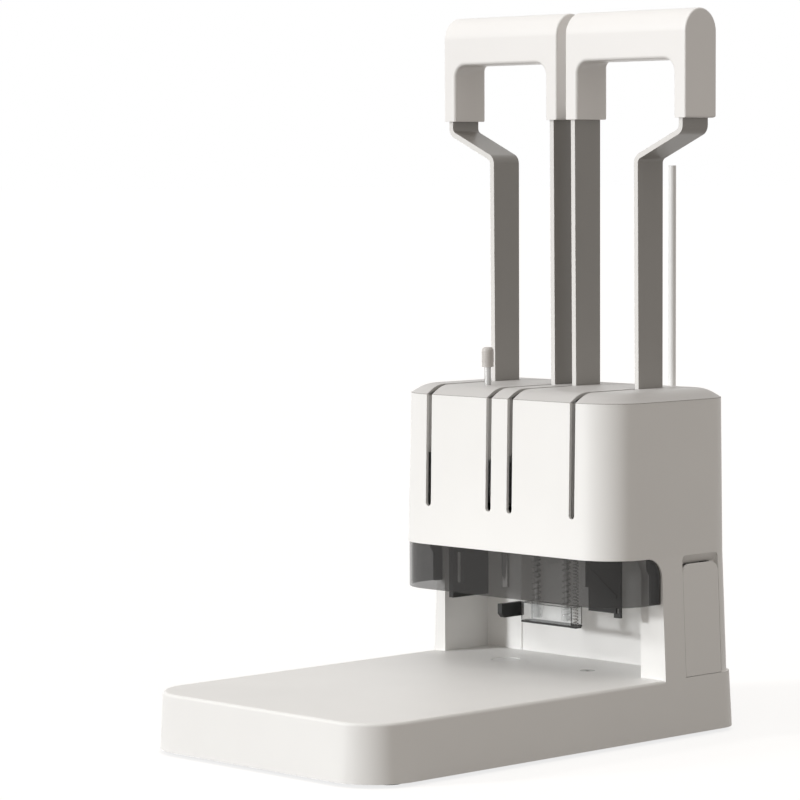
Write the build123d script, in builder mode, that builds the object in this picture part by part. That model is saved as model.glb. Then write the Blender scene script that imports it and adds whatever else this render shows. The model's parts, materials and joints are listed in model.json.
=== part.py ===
"""Desk binding machine: a drill and a rivet press, each worked by a pull lever, over a flat base."""

import math
import os

from build123d import *

# Axes: X runs across the machine, Y from front to back, Z up. The origin is on the floor,
# in the middle of the base. All sizes are in millimetres.

# Base casing
base_width = 240.0
base_depth = 380.0
base_top = 44.4
base_rim = 2.8
base_draft = 3.0
base_front_radius = 36.0
base_rear_radius = 20.0
base_wall = 3.0
base_edge_round = 2.5
plate_thickness = 2.5
foot_radius = 11.0
foot_height = 3.2
foot_chamfer = 1.0
foot_inset_x = 20.0
foot_inset_y = 34.0
boss_radius = 5.0
case_screw_radius = 1.5
case_screw_head_radius = 3.4
case_screw_head_height = 2.0
case_screw_length = 16.0

# Column and head casing
shell_wall = 2.5
column_half_width_low = 120.0
column_half_width_high = 115.8
column_rear = 190.0
column_rear_radius = 25.0
head_bottom = 134.4
head_half_width_top = 114.2
head_seam = 248.3
head_front_low = 54.1
head_front_high = 56.2
head_front_radius = 35.0
cheek_front = 106.5
cheek_corner_round = 3.5
cutout_radius = 15.0
least_corner_radius = 1.0
throat_left = -108.5
throat_right = 95.5
throat_back = 153.8
back_groove_x = -71.0
back_groove_width = 1.2
back_groove_depth = 0.8
floor_opening_half_width = 94.0
floor_opening_front = 66.0
floor_opening_back = 125.0
cap_height = 7.0
cap_slope_depth = 11.5
cap_slope_height = 6.9
cap_crown_radius = 26.0
cap_wall = 2.5
cap_top_wall = 2.6
casing_gap = 0.3

# Slots for the lever arms
outer_arm_x = 74.1
inner_arm_x = 10.9
slot_width = 5.5
slot_bottom = 163.5
slot_rear = 154.0

# Rear cover, inlet and switch
cover_half_width = 80.0
cover_bottom = 60.0
cover_top = 230.0
cover_lip = 4.0
cover_lip_thickness = 2.0
inlet_x = -50.0
inlet_z = 84.0
inlet_width = 28.0
inlet_height = 21.0
inlet_wall = 2.0
inlet_depth = 22.0
inlet_socket_depth = 16.0
inlet_flange = 3.0
inlet_proud = 1.2
switch_x = 0.0
switch_z = 84.0
switch_width = 13.0
switch_height = 20.0
switch_depth = 9.0
switch_proud = 1.0
switch_end_gap = 1.0
switch_hub_radius = 3.0
board_width = 110.0
board_height = 80.0
board_thickness = 1.6
board_bottom = 120.0
board_standoff = 8.0
transformer_size = 34.0
transformer_x = -27.5
transformer_rise = 6.0
capacitor_count = 3
capacitor_x = 13.75
capacitor_pitch = 15.0
capacitor_radius = 6.0
capacitor_length = 18.0

# Steel frame
frame_x = 90.0
frame_thickness = 3.0
frame_spine_front = 158.0
frame_spine_rear = 183.0
frame_floor = 8.0
frame_leg_front = 88.0
frame_leg_top = 32.0
frame_head_front = 64.0
frame_top = 236.0
tool_plate_bottom = 136.9
tool_plate_thickness = 4.0
tool_plate_front = 63.0
tool_plate_back = 150.0
flange_thickness = 3.0
flange_height = 16.0
bridge_thickness = 4.0
bridge_back = 170.0
tongue_half_width = 20.0
tongue_front = 110.0
beam_thickness = 3.0
beam_front = 90.0
beam_back = 122.0
beam_flange_drop = 20.0
bolt_radius = 2.5
bolt_head_radius = 4.5
bolt_head_height = 3.0
bolt_reach = 10.0
bolt_inset = 12.0
beam_bolt_inset = 8.0

# Work axes
tool_x = 42.4
tool_y = 106.0

# Cutting disc and lower die
disc_radius = 11.0
disc_thickness = 5.7
disc_sink = 0.3
disc_chamfer = 0.4
die_chamfer = 0.3
die_radius = 6.0
die_hole_radius = 1.7
seat_gap = 0.1

# Lever pivot, hubs and arms
pivot_y = 139.0
pivot_z = 179.0
shaft_radius = 6.0
shaft_end = 97.0
shaft_chamfer = 0.8
clip_radius = 9.0
clip_thickness = 1.2
shaft_fit = 0.04
hub_radius = 11.0
journal_radius = 8.0
hub_side_gap = 0.5
arm_thickness = 4.0
arm_front_low = 126.0
arm_front_high = 124.0
arm_rear = 152.2
arm_fit = 0.05
crank_low = 426.0
crank_high = 446.0
crank_radius = 6.0
arm_tip = 478.0

# Grips
grip_outer = 124.0
grip_inner = 4.5
grip_bottom = 455.0
grip_bar_bottom = 498.0
grip_top = 535.0
grip_front = 122.5
grip_rear = 157.0
grip_leg = 12.0
grip_window_front_radius = 10.0
grip_window_rear_radius = 4.0
grip_round = 1.5
grip_pocket_gap = 1.0
grip_screw_radius = 1.0
grip_screw_head_radius = 1.9
grip_screw_head_height = 1.6
grip_screw_length = 14.0
grip_screw_low = 461.0
grip_screw_high = 472.0
grip_screw_gap = 0.1

# Gears and racks
gear_module = 2.0
gear_teeth = 35
pressure_angle = 20.0
dedendum = 1.25
gear_backlash = 0.3
gear_width = 4.4
gear_first_tooth = -1
gear_last_tooth = 10
gear_hub_radius = 15.0
flank_steps = 5
rack_width = 5.0
rack_back = 96.0
rack_bottom = 169.0
rack_top = 244.0

# Tool carriages
carriage_half_width = 18.0
carriage_front = 89.5
carriage_back = 124.5
carriage_bottom = 197.0
carriage_thickness = 12.0
carriage_round = 2.0
guide_spread = 13.0
guide_y = 119.0
guide_radius = 3.0
guide_fit = 0.05
quill_radius = 13.0
quill_bottom = 165.0
bearing_radius = 11.0
bearing_width = 7.0
bearing_inset = 1.0
spindle_radius = 4.0
spindle_fit = 0.03
motor_radius = 14.0
motor_length = 26.0
motor_bore_depth = 12.0
motor_round = 2.0
spindle_end_gap = 1.0
spindle_reach = 6.0
chuck_radius = 9.0
chuck_nose_radius = 5.0
chuck_bottom = 140.0
chuck_shoulder = 148.0
chuck_top = 162.0
bit_radius = 3.0
bit_bore_radius = 2.1
bit_tip = 99.4
bit_top = 155.0
bit_bevel = 0.75
plate_clearance = 1.0

heater_half_width = 10.5
heater_half_depth = 8.0
heater_bottom = 172.0
punch_shank_depth = 8.0
punch_shank_radius = 4.0
punch_shoulder = 140.0
punch_pin_radius = 1.5
punch_tip = 107.0

# Press foot
foot_half_width = 26.0
foot_front = 106.0
foot_back = 118.0
foot_bottom = 74.7
foot_plate_thickness = 1.5
foot_top = 90.0
foot_round = 0.8
foot_pocket_radius = 4.4
foot_pocket_floor = 78.6
foot_rod_x = 15.5
foot_rod_y = 112.0
foot_rod_radius = 1.8
foot_rod_top = 178.0
foot_rod_head_radius = 2.3
foot_rod_head_height = 3.0
foot_tab_thickness = 4.5
foot_tab_front = 85.0
foot_tab_back = 109.0
foot_tab_bottom = 79.6
foot_tab_chamfer = 3.0

# Springs
foot_spring_radius = 3.0
foot_spring_wire = 0.5
foot_spring_turns = 13
return_spring_x = 28.8
return_spring_y = 108.0
return_spring_radius = 1.9
return_spring_wire = 0.4
return_spring_turns = 24
lever_spring_radius = 10.6
lever_spring_wire = 0.7
lever_spring_turns = 4
lever_spring_length = 12.0
spring_ear_width = 6.0
spring_seat_gap = 0.1

# Brackets under the head
bracket_y = 86.0
drill_bracket_outer = 83.4
drill_bracket_thickness = 4.4
drill_bracket_back = 124.6
drill_bracket_bottom = 90.3
drill_slot_front = 91.0
drill_slot_back = 98.3
drill_slot_low = 101.0
drill_slot_high = 125.0
press_bracket_thickness = 2.0
press_bracket_outer = 93.8
press_bracket_inner = 62.0
press_bracket_bottom = 93.0
press_hook_width = 6.5
press_hook_bottom = 89.8
press_slot_width = 2.2
press_slot_height = 3.8
press_rib_width = 2.5
press_rib_depth = 1.5
press_rib_low = 104.0
press_rib_high = 122.0

# Shield and its rail
shield_bottom = 100.0
shield_inset = 0.6
shield_thickness = 2.0
shield_gap = 0.3
rail_thickness = 2.2
rail_width = 8.0
rail_front = 95.0

# Chip bin on the right side
bin_front = 129.0
bin_back = 169.3
bin_top = 127.5
bin_inner = 98.3
bin_wall = 1.8
bin_corner_radius = 8.0
bin_clearance = 0.35
scoop_top = 134.3
scoop_floor_x = 111.5

# Rivet tube and lock knob
tube_x = 64.3
tube_y = 176.0
tube_radius = 2.9
tube_bore_radius = 2.2
tube_bottom = 214.0
tube_top = 420.4
tube_fit = 0.08
tube_guide_radius = 4.6
tube_guide_bottom = 208.0
tube_guide_drop = 1.2
knob_y = 87.0
knob_rod_radius = 2.5
knob_radius = 4.5
knob_bottom = 269.0
knob_top = 284.0
knob_rod_bottom = 222.0
knob_collar_radius = 4.0
knob_collar_height = 3.0
knob_boss_radius = 5.0
knob_boss_bottom = 240.0
knob_round = 2.7
knob_fit = 0.08

# Sizes worked out from the ones above
base_front = -base_depth / 2
base_rear = base_depth / 2
plate_bottom = foot_height
plate_top = plate_bottom + plate_thickness
pitch_radius = gear_module * gear_teeth / 2
arm_centre = (arm_front_low + arm_rear) / 2
arm_end_radius = (arm_rear - arm_front_low) / 2
cap_top = head_seam + cap_height
cap_inside = cap_top - cap_top_wall
disc_top = base_top - disc_sink
disc_bottom = disc_top - disc_thickness
tool_plate_top = tool_plate_bottom + tool_plate_thickness
carriage_top = carriage_bottom + carriage_thickness
cover_inner_face = column_rear - shell_wall
flange_inner = frame_x - flange_thickness
tube_guide_top = cap_inside - tube_guide_drop
scoop_low = bin_top + bin_clearance


def block(x, y, z, mode=Mode.ADD):
    """Box between two corners, each axis given as a pair of limits."""
    centre = [(low + high) / 2 for low, high in (x, y, z)]
    size = [abs(high - low) for low, high in (x, y, z)]
    with Locations(tuple(centre)):
        Box(*size, mode=mode)


def upright(x, y, z, radius, mode=Mode.ADD):
    """Upright cylinder at x, y between two heights."""
    with Locations((x, y, (z[0] + z[1]) / 2)):
        Cylinder(radius, abs(z[1] - z[0]), mode=mode)


def crosswise(x, y, z, radius, mode=Mode.ADD):
    """Cylinder lying along X between two X places."""
    with Locations(Location(((x[0] + x[1]) / 2, y, z), (0, 90, 0))):
        Cylinder(radius, abs(x[1] - x[0]), mode=mode)


def lengthwise(x, y, z, radius, mode=Mode.ADD):
    """Cylinder lying along Y between two Y places."""
    with Locations(Location((x, (y[0] + y[1]) / 2, z), (90, 0, 0))):
        Cylinder(radius, abs(y[1] - y[0]), mode=mode)


def casing_outline(height, half_width, front, rear, front_radius, rear_radius):
    """Face across a casing at one height: straight sides with round front and rear corners."""
    with BuildSketch(Plane.XY.offset(height)) as section:
        with Locations((0, (front + rear) / 2)):
            Rectangle(2 * half_width, rear - front)
        fillet(section.vertices().group_by(Axis.Y)[0], front_radius)
        fillet(section.vertices().group_by(Axis.Y)[-1], rear_radius)
    return section.sketch


def base_block(inset, bottom, top):
    """Drafted body of the base, drawn in by inset on every side."""
    rise = (base_top - bottom) * math.tan(math.radians(base_draft)) - inset
    outline = casing_outline(
        bottom,
        base_width / 2 + rise,
        base_front - rise,
        base_rear + rise,
        base_front_radius + rise,
        base_rear_radius + rise,
    )
    with BuildPart() as body:
        extrude(outline, amount=top - bottom, taper=base_draft)
    return body.part


def column_block(inset):
    """Column from the base to the head, as wide as the base below and narrower above."""
    front = head_front_low + inset
    low = casing_outline(
        base_top,
        column_half_width_low - inset,
        front,
        column_rear - inset,
        cheek_corner_round,
        column_rear_radius - inset,
    )
    high = casing_outline(
        head_bottom,
        column_half_width_high - inset,
        front,
        column_rear - inset,
        cheek_corner_round,
        column_rear_radius - inset,
    )
    with BuildPart() as body:
        loft([low, high], ruled=True)
    return body.part


def head_outline(height, inset):
    """Face across the head at a height, drawn in by inset."""
    share = (height - head_bottom) / (head_seam - head_bottom)
    half_width = column_half_width_high + share * (head_half_width_top - column_half_width_high)
    front = head_front_low + share * (head_front_high - head_front_low)
    return casing_outline(
        height,
        half_width - inset,
        front + inset,
        column_rear - inset,
        head_front_radius - inset,
        column_rear_radius - inset,
    )


def cap_ceiling(inset):
    """Face under the cap's flat top, drawn in by inset."""
    return casing_outline(
        cap_inside,
        head_half_width_top - inset,
        head_front_high + inset,
        column_rear - inset,
        head_front_radius - inset,
        column_rear_radius - inset,
    )


def head_block(inset, bottom, top):
    """Head of the casing between two heights, leaning in a little towards the top."""
    with BuildPart() as body:
        loft([head_outline(bottom, inset), head_outline(top, inset)], ruled=True)
    return body.part


def under_head(gap, rear_shift=0.0):
    """Space under the head in front of the cheeks, with the round corner of the side cutout."""
    back = cheek_front - gap - rear_shift
    top = head_bottom - gap - rear_shift
    radius = max(cutout_radius - gap - rear_shift, least_corner_radius)
    with BuildPart() as space:
        with BuildSketch(Plane.YZ):
            with Locations(((head_front_low - cutout_radius + back) / 2, (base_top + top) / 2)):
                profile = Rectangle(back - head_front_low + cutout_radius, top - base_top)
            fillet(profile.vertices().sort_by(Axis.X)[-2:].sort_by(Axis.Y)[-1], radius)
        extrude(amount=base_width / 2 + cutout_radius, both=True)
    return space.part


def head_band(inset, thickness, bottom):
    """Upright band that follows the head's outline, drawn in by inset."""
    outer = head_outline(head_bottom, inset)
    inner = head_outline(head_bottom, inset + thickness)
    with BuildPart() as band:
        extrude(outer, amount=bottom - head_bottom)
        extrude(inner, amount=bottom - head_bottom, mode=Mode.SUBTRACT)
    return band.part


def wire_tube(points, tangents, wire_radius, lead, tail):
    """Wire tube along points with known tangents, on pairs of arcs, with a straight lead and tail."""
    with BuildPart() as tube:
        with BuildLine() as path:
            if lead:
                Line(points[0] - tangents[0] * lead, points[0])
            for place in range(len(points) - 1):
                start, end = points[place], points[place + 1]
                leave, arrive = tangents[place], tangents[place + 1]
                reach = end - start
                both = leave + arrive
                spread = 2 * (1 - leave.dot(arrive))
                along = reach.dot(both)
                step = (math.sqrt(along**2 + spread * reach.dot(reach)) - along) / spread
                first = start + leave * step
                last = end - arrive * step
                middle = (first + last) / 2
                TangentArc(start, middle, tangent=leave)
                TangentArc(middle, end, tangent=last - first)
            if tail:
                Line(points[-1], points[-1] + tangents[-1] * tail)
        with BuildSketch(Plane(origin=path.line @ 0, z_dir=path.line % 0)):
            Circle(wire_radius)
        sweep()
    return tube.part


def helix_points(frame, radius, pitch, turns):
    """Points and tangents of a helix, four to a turn, about the frame's local Z."""
    points, tangents = [], []
    climb = pitch / math.tau
    for step in range(4 * turns + 1):
        angle = step * math.pi / 2
        spot = Vector(radius * math.cos(angle), radius * math.sin(angle), climb * angle)
        heading = Vector(-radius * math.sin(angle), radius * math.cos(angle), climb).normalized()
        points.append(frame.from_local_coords(spot))
        tangents.append(frame.from_local_coords(heading) - frame.origin)
    return points, tangents


def report_gap(name, pitch, wire_radius, radius):
    """Print the least gap between neighbouring turns of a coil, measured on points."""
    samples = 72
    climb = pitch / samples
    least = min(
        math.dist(
            (radius, 0.0, 0.0),
            (
                radius * math.cos(math.tau * step / samples),
                radius * math.sin(math.tau * step / samples),
                climb * step,
            ),
        )
        for step in range(samples // 2, samples + samples // 2)
    )
    print(f"{name}: least gap to itself {least - 2 * wire_radius:.2f} mm")


def gear_outline():
    """Points of the toothed sector about the pivot, in its own plane."""
    base_circle = pitch_radius * math.cos(math.radians(pressure_angle))
    root = pitch_radius - dedendum * gear_module
    tip = pitch_radius + gear_module

    def roll(radius):
        """Involute angle at a radius."""
        lean = math.acos(min(1.0, base_circle / radius))
        return math.tan(lean) - lean

    half_pitch_angle = math.pi / (2 * gear_teeth) - gear_backlash / (2 * pitch_radius)
    step_angle = math.tau / gear_teeth

    def half_angle(radius):
        """Half the tooth's angle at a radius."""
        return half_pitch_angle + roll(pitch_radius) - roll(max(radius, base_circle))

    radii = [base_circle + (tip - base_circle) * n / flank_steps for n in range(flank_steps + 1)]

    def spot(radius, angle):
        """Place at a radius, with the angle counted up from straight ahead."""
        return (pivot_y - radius * math.cos(angle), pivot_z + radius * math.sin(angle))

    points = [(pivot_y, pivot_z), spot(root, (gear_first_tooth - 0.5) * step_angle)]
    for tooth in range(gear_first_tooth, gear_last_tooth + 1):
        middle = tooth * step_angle
        points.append(spot(root, middle - half_angle(root)))
        points += [spot(radius, middle - half_angle(radius)) for radius in radii]
        points += [spot(radius, middle + half_angle(radius)) for radius in reversed(radii)]
        points.append(spot(root, middle + half_angle(root)))
    points.append(spot(root, (gear_last_tooth + 0.5) * step_angle))
    return points


def rack_outline():
    """Points of the rack's side view, with its teeth facing the pivot."""
    pitch = math.pi * gear_module
    pitch_line = pivot_y - pitch_radius
    lean = math.tan(math.radians(pressure_angle))
    half = pitch / 4 - gear_backlash / 2
    root_y = pitch_line - dedendum * gear_module
    tip_y = pitch_line + gear_module
    root_half = half + dedendum * gear_module * lean
    tip_half = half - gear_module * lean
    points = [(rack_back, rack_bottom), (root_y, rack_bottom)]
    count = int((rack_top - rack_bottom) / pitch)
    first = pivot_z + pitch / 2 - pitch * int((pivot_z + pitch / 2 - rack_bottom - root_half) / pitch)
    for tooth in range(count):
        middle = first + tooth * pitch
        if middle + root_half > rack_top:
            break
        points += [
            (root_y, middle - root_half),
            (tip_y, middle - tip_half),
            (tip_y, middle + tip_half),
            (root_y, middle + root_half),
        ]
    points += [(root_y, rack_top), (rack_back, rack_top)]
    return points


# Screw places under the base, one in each rubber foot
foot_spots = [
    (side * (base_width / 2 - foot_inset_x), end * (base_depth / 2 - foot_inset_y))
    for side in (-1, 1)
    for end in (-1, 1)
]

# Base shell
base_solid = base_block(0, base_rim, base_top)
base_hollow = base_block(base_wall, base_rim, base_top - base_wall)
with BuildPart() as column_seat:
    add(base_solid)
    block(
        (-base_width, base_width),
        (cheek_front, base_depth),
        (base_top - 2 * base_edge_round, base_top),
        mode=Mode.INTERSECT,
    )

with BuildPart() as base_shell:
    add(base_solid)
    fillet(base_shell.faces().sort_by(Axis.Z)[-1].edges(), base_edge_round)
    add(column_seat.part)
    add(base_hollow, mode=Mode.SUBTRACT)
    for spot_x, spot_y in foot_spots:
        upright(spot_x, spot_y, (plate_top, base_top - base_wall), boss_radius)
        upright(
            spot_x,
            spot_y,
            (plate_top, plate_top + case_screw_length),
            case_screw_radius,
            mode=Mode.SUBTRACT,
        )
    upright(-tool_x, tool_y, (disc_bottom, base_top), disc_radius + seat_gap, mode=Mode.SUBTRACT)
    upright(tool_x, tool_y, (disc_bottom, base_top), die_radius + seat_gap, mode=Mode.SUBTRACT)
    for side in (-1, 1):
        block(
            (side * (frame_x - casing_gap), side * (frame_x + frame_thickness + casing_gap)),
            (frame_spine_front - casing_gap, frame_spine_rear + casing_gap),
            (base_top - 2 * base_wall, base_top),
            mode=Mode.SUBTRACT,
        )

# Base plate, feet and the screws that hold them
with BuildPart() as base_plate:
    add(base_block(base_wall + casing_gap, plate_bottom, plate_top))
    for spot_x, spot_y in foot_spots:
        upright(spot_x, spot_y, (plate_bottom, plate_top), case_screw_radius, mode=Mode.SUBTRACT)

with BuildPart() as rubber_feet:
    for spot_x, spot_y in foot_spots:
        upright(spot_x, spot_y, (0, foot_height), foot_radius)
    chamfer(rubber_feet.faces().group_by(Axis.Z)[0].edges(), foot_chamfer)
    for spot_x, spot_y in foot_spots:
        head_hole = case_screw_head_radius + seat_gap
        upright(spot_x, spot_y, (0, foot_height), head_hole, mode=Mode.SUBTRACT)

with BuildPart() as case_screws:
    for spot_x, spot_y in foot_spots:
        head_bottom_z = plate_bottom - case_screw_head_height
        upright(spot_x, spot_y, (head_bottom_z, plate_bottom), case_screw_head_radius)
        upright(spot_x, spot_y, (plate_bottom, plate_top + case_screw_length), case_screw_radius)

# Cutting disc and lower die, sunk in the platform on the beam below it
with BuildPart() as cutting_disc:
    upright(-tool_x, tool_y, (disc_bottom, disc_top), disc_radius)
    chamfer(cutting_disc.faces().sort_by(Axis.Z)[-1].edges(), disc_chamfer)

with BuildPart() as lower_die:
    upright(tool_x, tool_y, (disc_bottom, base_top - seat_gap), die_radius)
    upright(tool_x, tool_y, (disc_bottom, base_top), die_hole_radius, mode=Mode.SUBTRACT)
    chamfer(lower_die.faces().sort_by(Axis.Z)[-1].edges(), die_chamfer)

# Steel frame: one side plate, mirrored, with its bolts
bolt_spots = [
    (carriage_front - bolt_inset, tool_plate_top + flange_height / 2),
    (carriage_back - bolt_inset, tool_plate_top + flange_height / 2),
    ((frame_spine_front + bridge_back) / 2, frame_top - flange_height / 2),
    (beam_front + beam_bolt_inset, disc_bottom - beam_thickness - beam_flange_drop / 2),
    (beam_back - beam_bolt_inset, disc_bottom - beam_thickness - beam_flange_drop / 2),
]


def frame_plate(side):
    """C-shaped steel plate on one side, bored for the pivot shaft and the bolts."""
    with BuildPart() as plate:
        with BuildSketch(Plane.YZ.offset(side * frame_x)):
            with BuildLine():
                Polyline(
                    (frame_leg_front, frame_floor),
                    (frame_spine_rear, frame_floor),
                    (frame_spine_rear, frame_top),
                    (frame_head_front, frame_top),
                    (frame_head_front, tool_plate_top),
                    (frame_spine_front, tool_plate_top),
                    (frame_spine_front, frame_leg_top),
                    (frame_leg_front, frame_leg_top),
                    close=True,
                )
            make_face()
        extrude(amount=side * frame_thickness)
        outer_edges = plate.edges().filter_by(Axis.X)
        fillet(outer_edges.group_by(Axis.Y)[-1], frame_thickness)
        reach = (side * frame_x, side * (frame_x + frame_thickness))
        crosswise(reach, pivot_y, pivot_z, shaft_radius + shaft_fit, mode=Mode.SUBTRACT)
        for spot_y, spot_z in bolt_spots:
            crosswise(reach, spot_y, spot_z, bolt_radius + shaft_fit, mode=Mode.SUBTRACT)
    return plate.part


with BuildPart() as frame_left:
    add(frame_plate(-1))

with BuildPart() as frame_right:
    add(frame_plate(1))

with BuildPart() as frame_bolts:
    for side in (-1, 1):
        for spot_y, spot_z in bolt_spots:
            face_x = side * (frame_x + frame_thickness)
            crosswise((face_x - side * bolt_reach, face_x), spot_y, spot_z, bolt_radius)
            crosswise((face_x, face_x + side * bolt_head_height), spot_y, spot_z, bolt_head_radius)

# Tool plate across the head floor, with a passage for each moving tool
rack_inner = carriage_half_width
rack_outer = carriage_half_width + rack_width
rack_tip = pivot_y - pitch_radius + gear_module

with BuildPart() as tool_plate:
    block(
        (-frame_x - frame_thickness, frame_x + frame_thickness),
        (tool_plate_front, tool_plate_back),
        (tool_plate_bottom, tool_plate_top),
    )
    for side in (-1, 1):
        block(
            (side * flange_inner, side * frame_x),
            (frame_head_front + bolt_head_radius, carriage_back),
            (tool_plate_top, tool_plate_top + flange_height),
        )
        for spot_y, spot_z in bolt_spots[:2]:
            reach = (side * flange_inner, side * frame_x)
            crosswise(reach, spot_y, spot_z, bolt_radius + shaft_fit, mode=Mode.SUBTRACT)
        for edge in (-1, 1):
            block(
                (
                    side * tool_x + edge * (rack_inner - plate_clearance / 2),
                    side * tool_x + edge * (rack_outer + plate_clearance),
                ),
                (rack_back - plate_clearance, rack_tip + plate_clearance),
                (tool_plate_bottom, tool_plate_top),
                mode=Mode.SUBTRACT,
            )
            upright(
                side * tool_x + edge * guide_spread,
                guide_y,
                (tool_plate_bottom, tool_plate_top),
                guide_radius + shaft_fit,
                mode=Mode.SUBTRACT,
            )
        upright(
            side * foot_rod_x,
            foot_rod_y,
            (tool_plate_bottom, tool_plate_top),
            foot_rod_radius + guide_fit,
            mode=Mode.SUBTRACT,
        )
    upright(
        -tool_x,
        tool_y,
        (tool_plate_bottom, tool_plate_top),
        quill_radius + plate_clearance,
        mode=Mode.SUBTRACT,
    )
    block(
        (
            tool_x - heater_half_width - plate_clearance,
            tool_x + heater_half_width + plate_clearance,
        ),
        (
            tool_y - heater_half_depth - plate_clearance,
            tool_y + heater_half_depth + plate_clearance,
        ),
        (tool_plate_bottom, tool_plate_top),
        mode=Mode.SUBTRACT,
    )

with BuildPart() as top_bridge:
    block(
        (-frame_x - frame_thickness, frame_x + frame_thickness),
        (frame_spine_front, bridge_back),
        (frame_top, frame_top + bridge_thickness),
    )
    for side in (-1, 1):
        block(
            (side * tool_x - tongue_half_width, side * tool_x + tongue_half_width),
            (tongue_front, frame_spine_front),
            (frame_top, frame_top + bridge_thickness),
        )
        block(
            (side * flange_inner, side * frame_x),
            (frame_spine_front, bridge_back),
            (frame_top - flange_height, frame_top),
        )
        spot_y, spot_z = bolt_spots[2]
        reach = (side * flange_inner, side * frame_x)
        crosswise(reach, spot_y, spot_z, bolt_radius + shaft_fit, mode=Mode.SUBTRACT)
        for edge in (-1, 1):
            upright(
                side * tool_x + edge * guide_spread,
                guide_y,
                (frame_top, frame_top + bridge_thickness),
                guide_radius + shaft_fit,
                mode=Mode.SUBTRACT,
            )

with BuildPart() as base_beam:
    block(
        (-frame_x, frame_x),
        (beam_front, beam_back),
        (disc_bottom - beam_thickness, disc_bottom),
    )
    for side in (-1, 1):
        block(
            (side * flange_inner, side * frame_x),
            (beam_front, beam_back),
            (disc_bottom - beam_thickness - beam_flange_drop, disc_bottom - beam_thickness),
        )
        for spot_y, spot_z in bolt_spots[3:]:
            reach = (side * flange_inner, side * frame_x)
            crosswise(reach, spot_y, spot_z, bolt_radius + shaft_fit, mode=Mode.SUBTRACT)

with BuildPart() as guide_rods:
    for side in (-1, 1):
        for edge in (-1, 1):
            upright(
                side * tool_x + edge * guide_spread,
                guide_y,
                (tool_plate_bottom, frame_top + bridge_thickness),
                guide_radius,
            )

# Column and head casing
with BuildPart() as column_hollow:
    add(column_block(shell_wall))
    block(
        (-base_width, base_width),
        (0, cheek_front + shell_wall),
        (base_top, head_bottom),
        mode=Mode.SUBTRACT,
    )
    block(
        (throat_left - shell_wall, throat_right + shell_wall),
        (0, throat_back + shell_wall),
        (base_top, head_bottom),
        mode=Mode.SUBTRACT,
    )

# Passage from the column's hollow into the head, with room for the lip of the rear cover
with BuildPart() as head_passage:
    extrude(head_outline(head_bottom, shell_wall + casing_gap), amount=2 * shell_wall, both=True)
    block(
        (-base_width, base_width),
        (0, throat_back + shell_wall),
        (base_top, head_seam),
        mode=Mode.SUBTRACT,
    )
    block(
        (-cover_half_width - 2 * cover_lip, cover_half_width + 2 * cover_lip),
        (cover_inner_face - 2 * cover_lip_thickness, cover_inner_face),
        (head_bottom - shell_wall, head_bottom + 2 * shell_wall),
    )

# Opening of the chip bin, and the finger scoop above it: a hollow that slants out of the wall
with BuildPart() as bin_passage:
    with BuildSketch(Plane.YZ.offset(bin_inner)):
        with Locations(((bin_front + bin_back) / 2, (base_top + scoop_low) / 2)):
            bin_opening = Rectangle(bin_back - bin_front, scoop_low - base_top)
        fillet(bin_opening.vertices().group_by(Axis.Y)[-1], bin_corner_radius)
    extrude(amount=column_half_width_low - bin_inner + shell_wall)

with BuildPart() as scoop_pad:
    add(column_block(0))
    block(
        (scoop_floor_x - shell_wall, base_width),
        (bin_front - shell_wall, bin_back + shell_wall),
        (bin_top - bin_corner_radius, head_bottom),
        mode=Mode.INTERSECT,
    )

with BuildPart() as scoop_hollow:
    with BuildSketch(Plane.XZ.offset(-bin_back)):
        with BuildLine():
            Polyline(
                (scoop_floor_x, scoop_low),
                (scoop_floor_x, bin_top - bin_corner_radius),
                (column_half_width_low, bin_top - bin_corner_radius),
                (column_half_width_low, scoop_top),
                (column_half_width_high, scoop_top),
                close=True,
            )
        make_face()
    extrude(amount=bin_back - bin_front)
    scoop_corners = scoop_hollow.edges().filter_by(Axis.X).group_by(Axis.Z)[-1]
    fillet(scoop_corners, bin_corner_radius / 2)

with BuildPart() as housing_shell:
    add(column_block(0))
    add(head_block(0, head_bottom, head_seam))
    add(under_head(0), mode=Mode.SUBTRACT)
    block(
        (throat_left, throat_right),
        (head_front_low - cutout_radius, throat_back),
        (base_top, head_bottom),
        mode=Mode.SUBTRACT,
    )
    add(head_block(shell_wall, head_bottom + shell_wall, head_seam), mode=Mode.SUBTRACT)
    add(column_hollow.part, mode=Mode.SUBTRACT)
    add(head_passage.part, mode=Mode.SUBTRACT)
    # Opening in the head floor over the tools
    block(
        (-floor_opening_half_width, floor_opening_half_width),
        (floor_opening_front, floor_opening_back),
        (head_bottom, head_bottom + shell_wall),
        mode=Mode.SUBTRACT,
    )
    for slot_x in (-outer_arm_x, -inner_arm_x, inner_arm_x, outer_arm_x):
        slot_reach = (head_front_low, head_front_high + 2 * shell_wall)
        slot_end = slot_bottom + slot_width / 2
        block(
            (slot_x - slot_width / 2, slot_x + slot_width / 2),
            slot_reach,
            (slot_end, head_seam),
            mode=Mode.SUBTRACT,
        )
        lengthwise(slot_x, slot_reach, slot_end, slot_width / 2, mode=Mode.SUBTRACT)
    block(
        (back_groove_x - back_groove_width / 2, back_groove_x + back_groove_width / 2),
        (throat_back, throat_back + back_groove_depth),
        (base_top, head_bottom),
        mode=Mode.SUBTRACT,
    )
    block(
        (-cover_half_width, cover_half_width),
        (cover_inner_face, column_rear),
        (cover_bottom, cover_top),
        mode=Mode.SUBTRACT,
    )
    add(scoop_pad.part)
    add(bin_passage.part, mode=Mode.SUBTRACT)
    add(scoop_hollow.part, mode=Mode.SUBTRACT)

# Top cap with sloping shoulders and the four arm slots
with BuildPart() as cap_hollow:
    loft([head_outline(head_seam, cap_wall), cap_ceiling(cap_slope_depth + cap_wall)], ruled=True)
    upright(
        tube_x, tube_y, (head_seam, tube_guide_top), tube_guide_radius + casing_gap
    )

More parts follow.
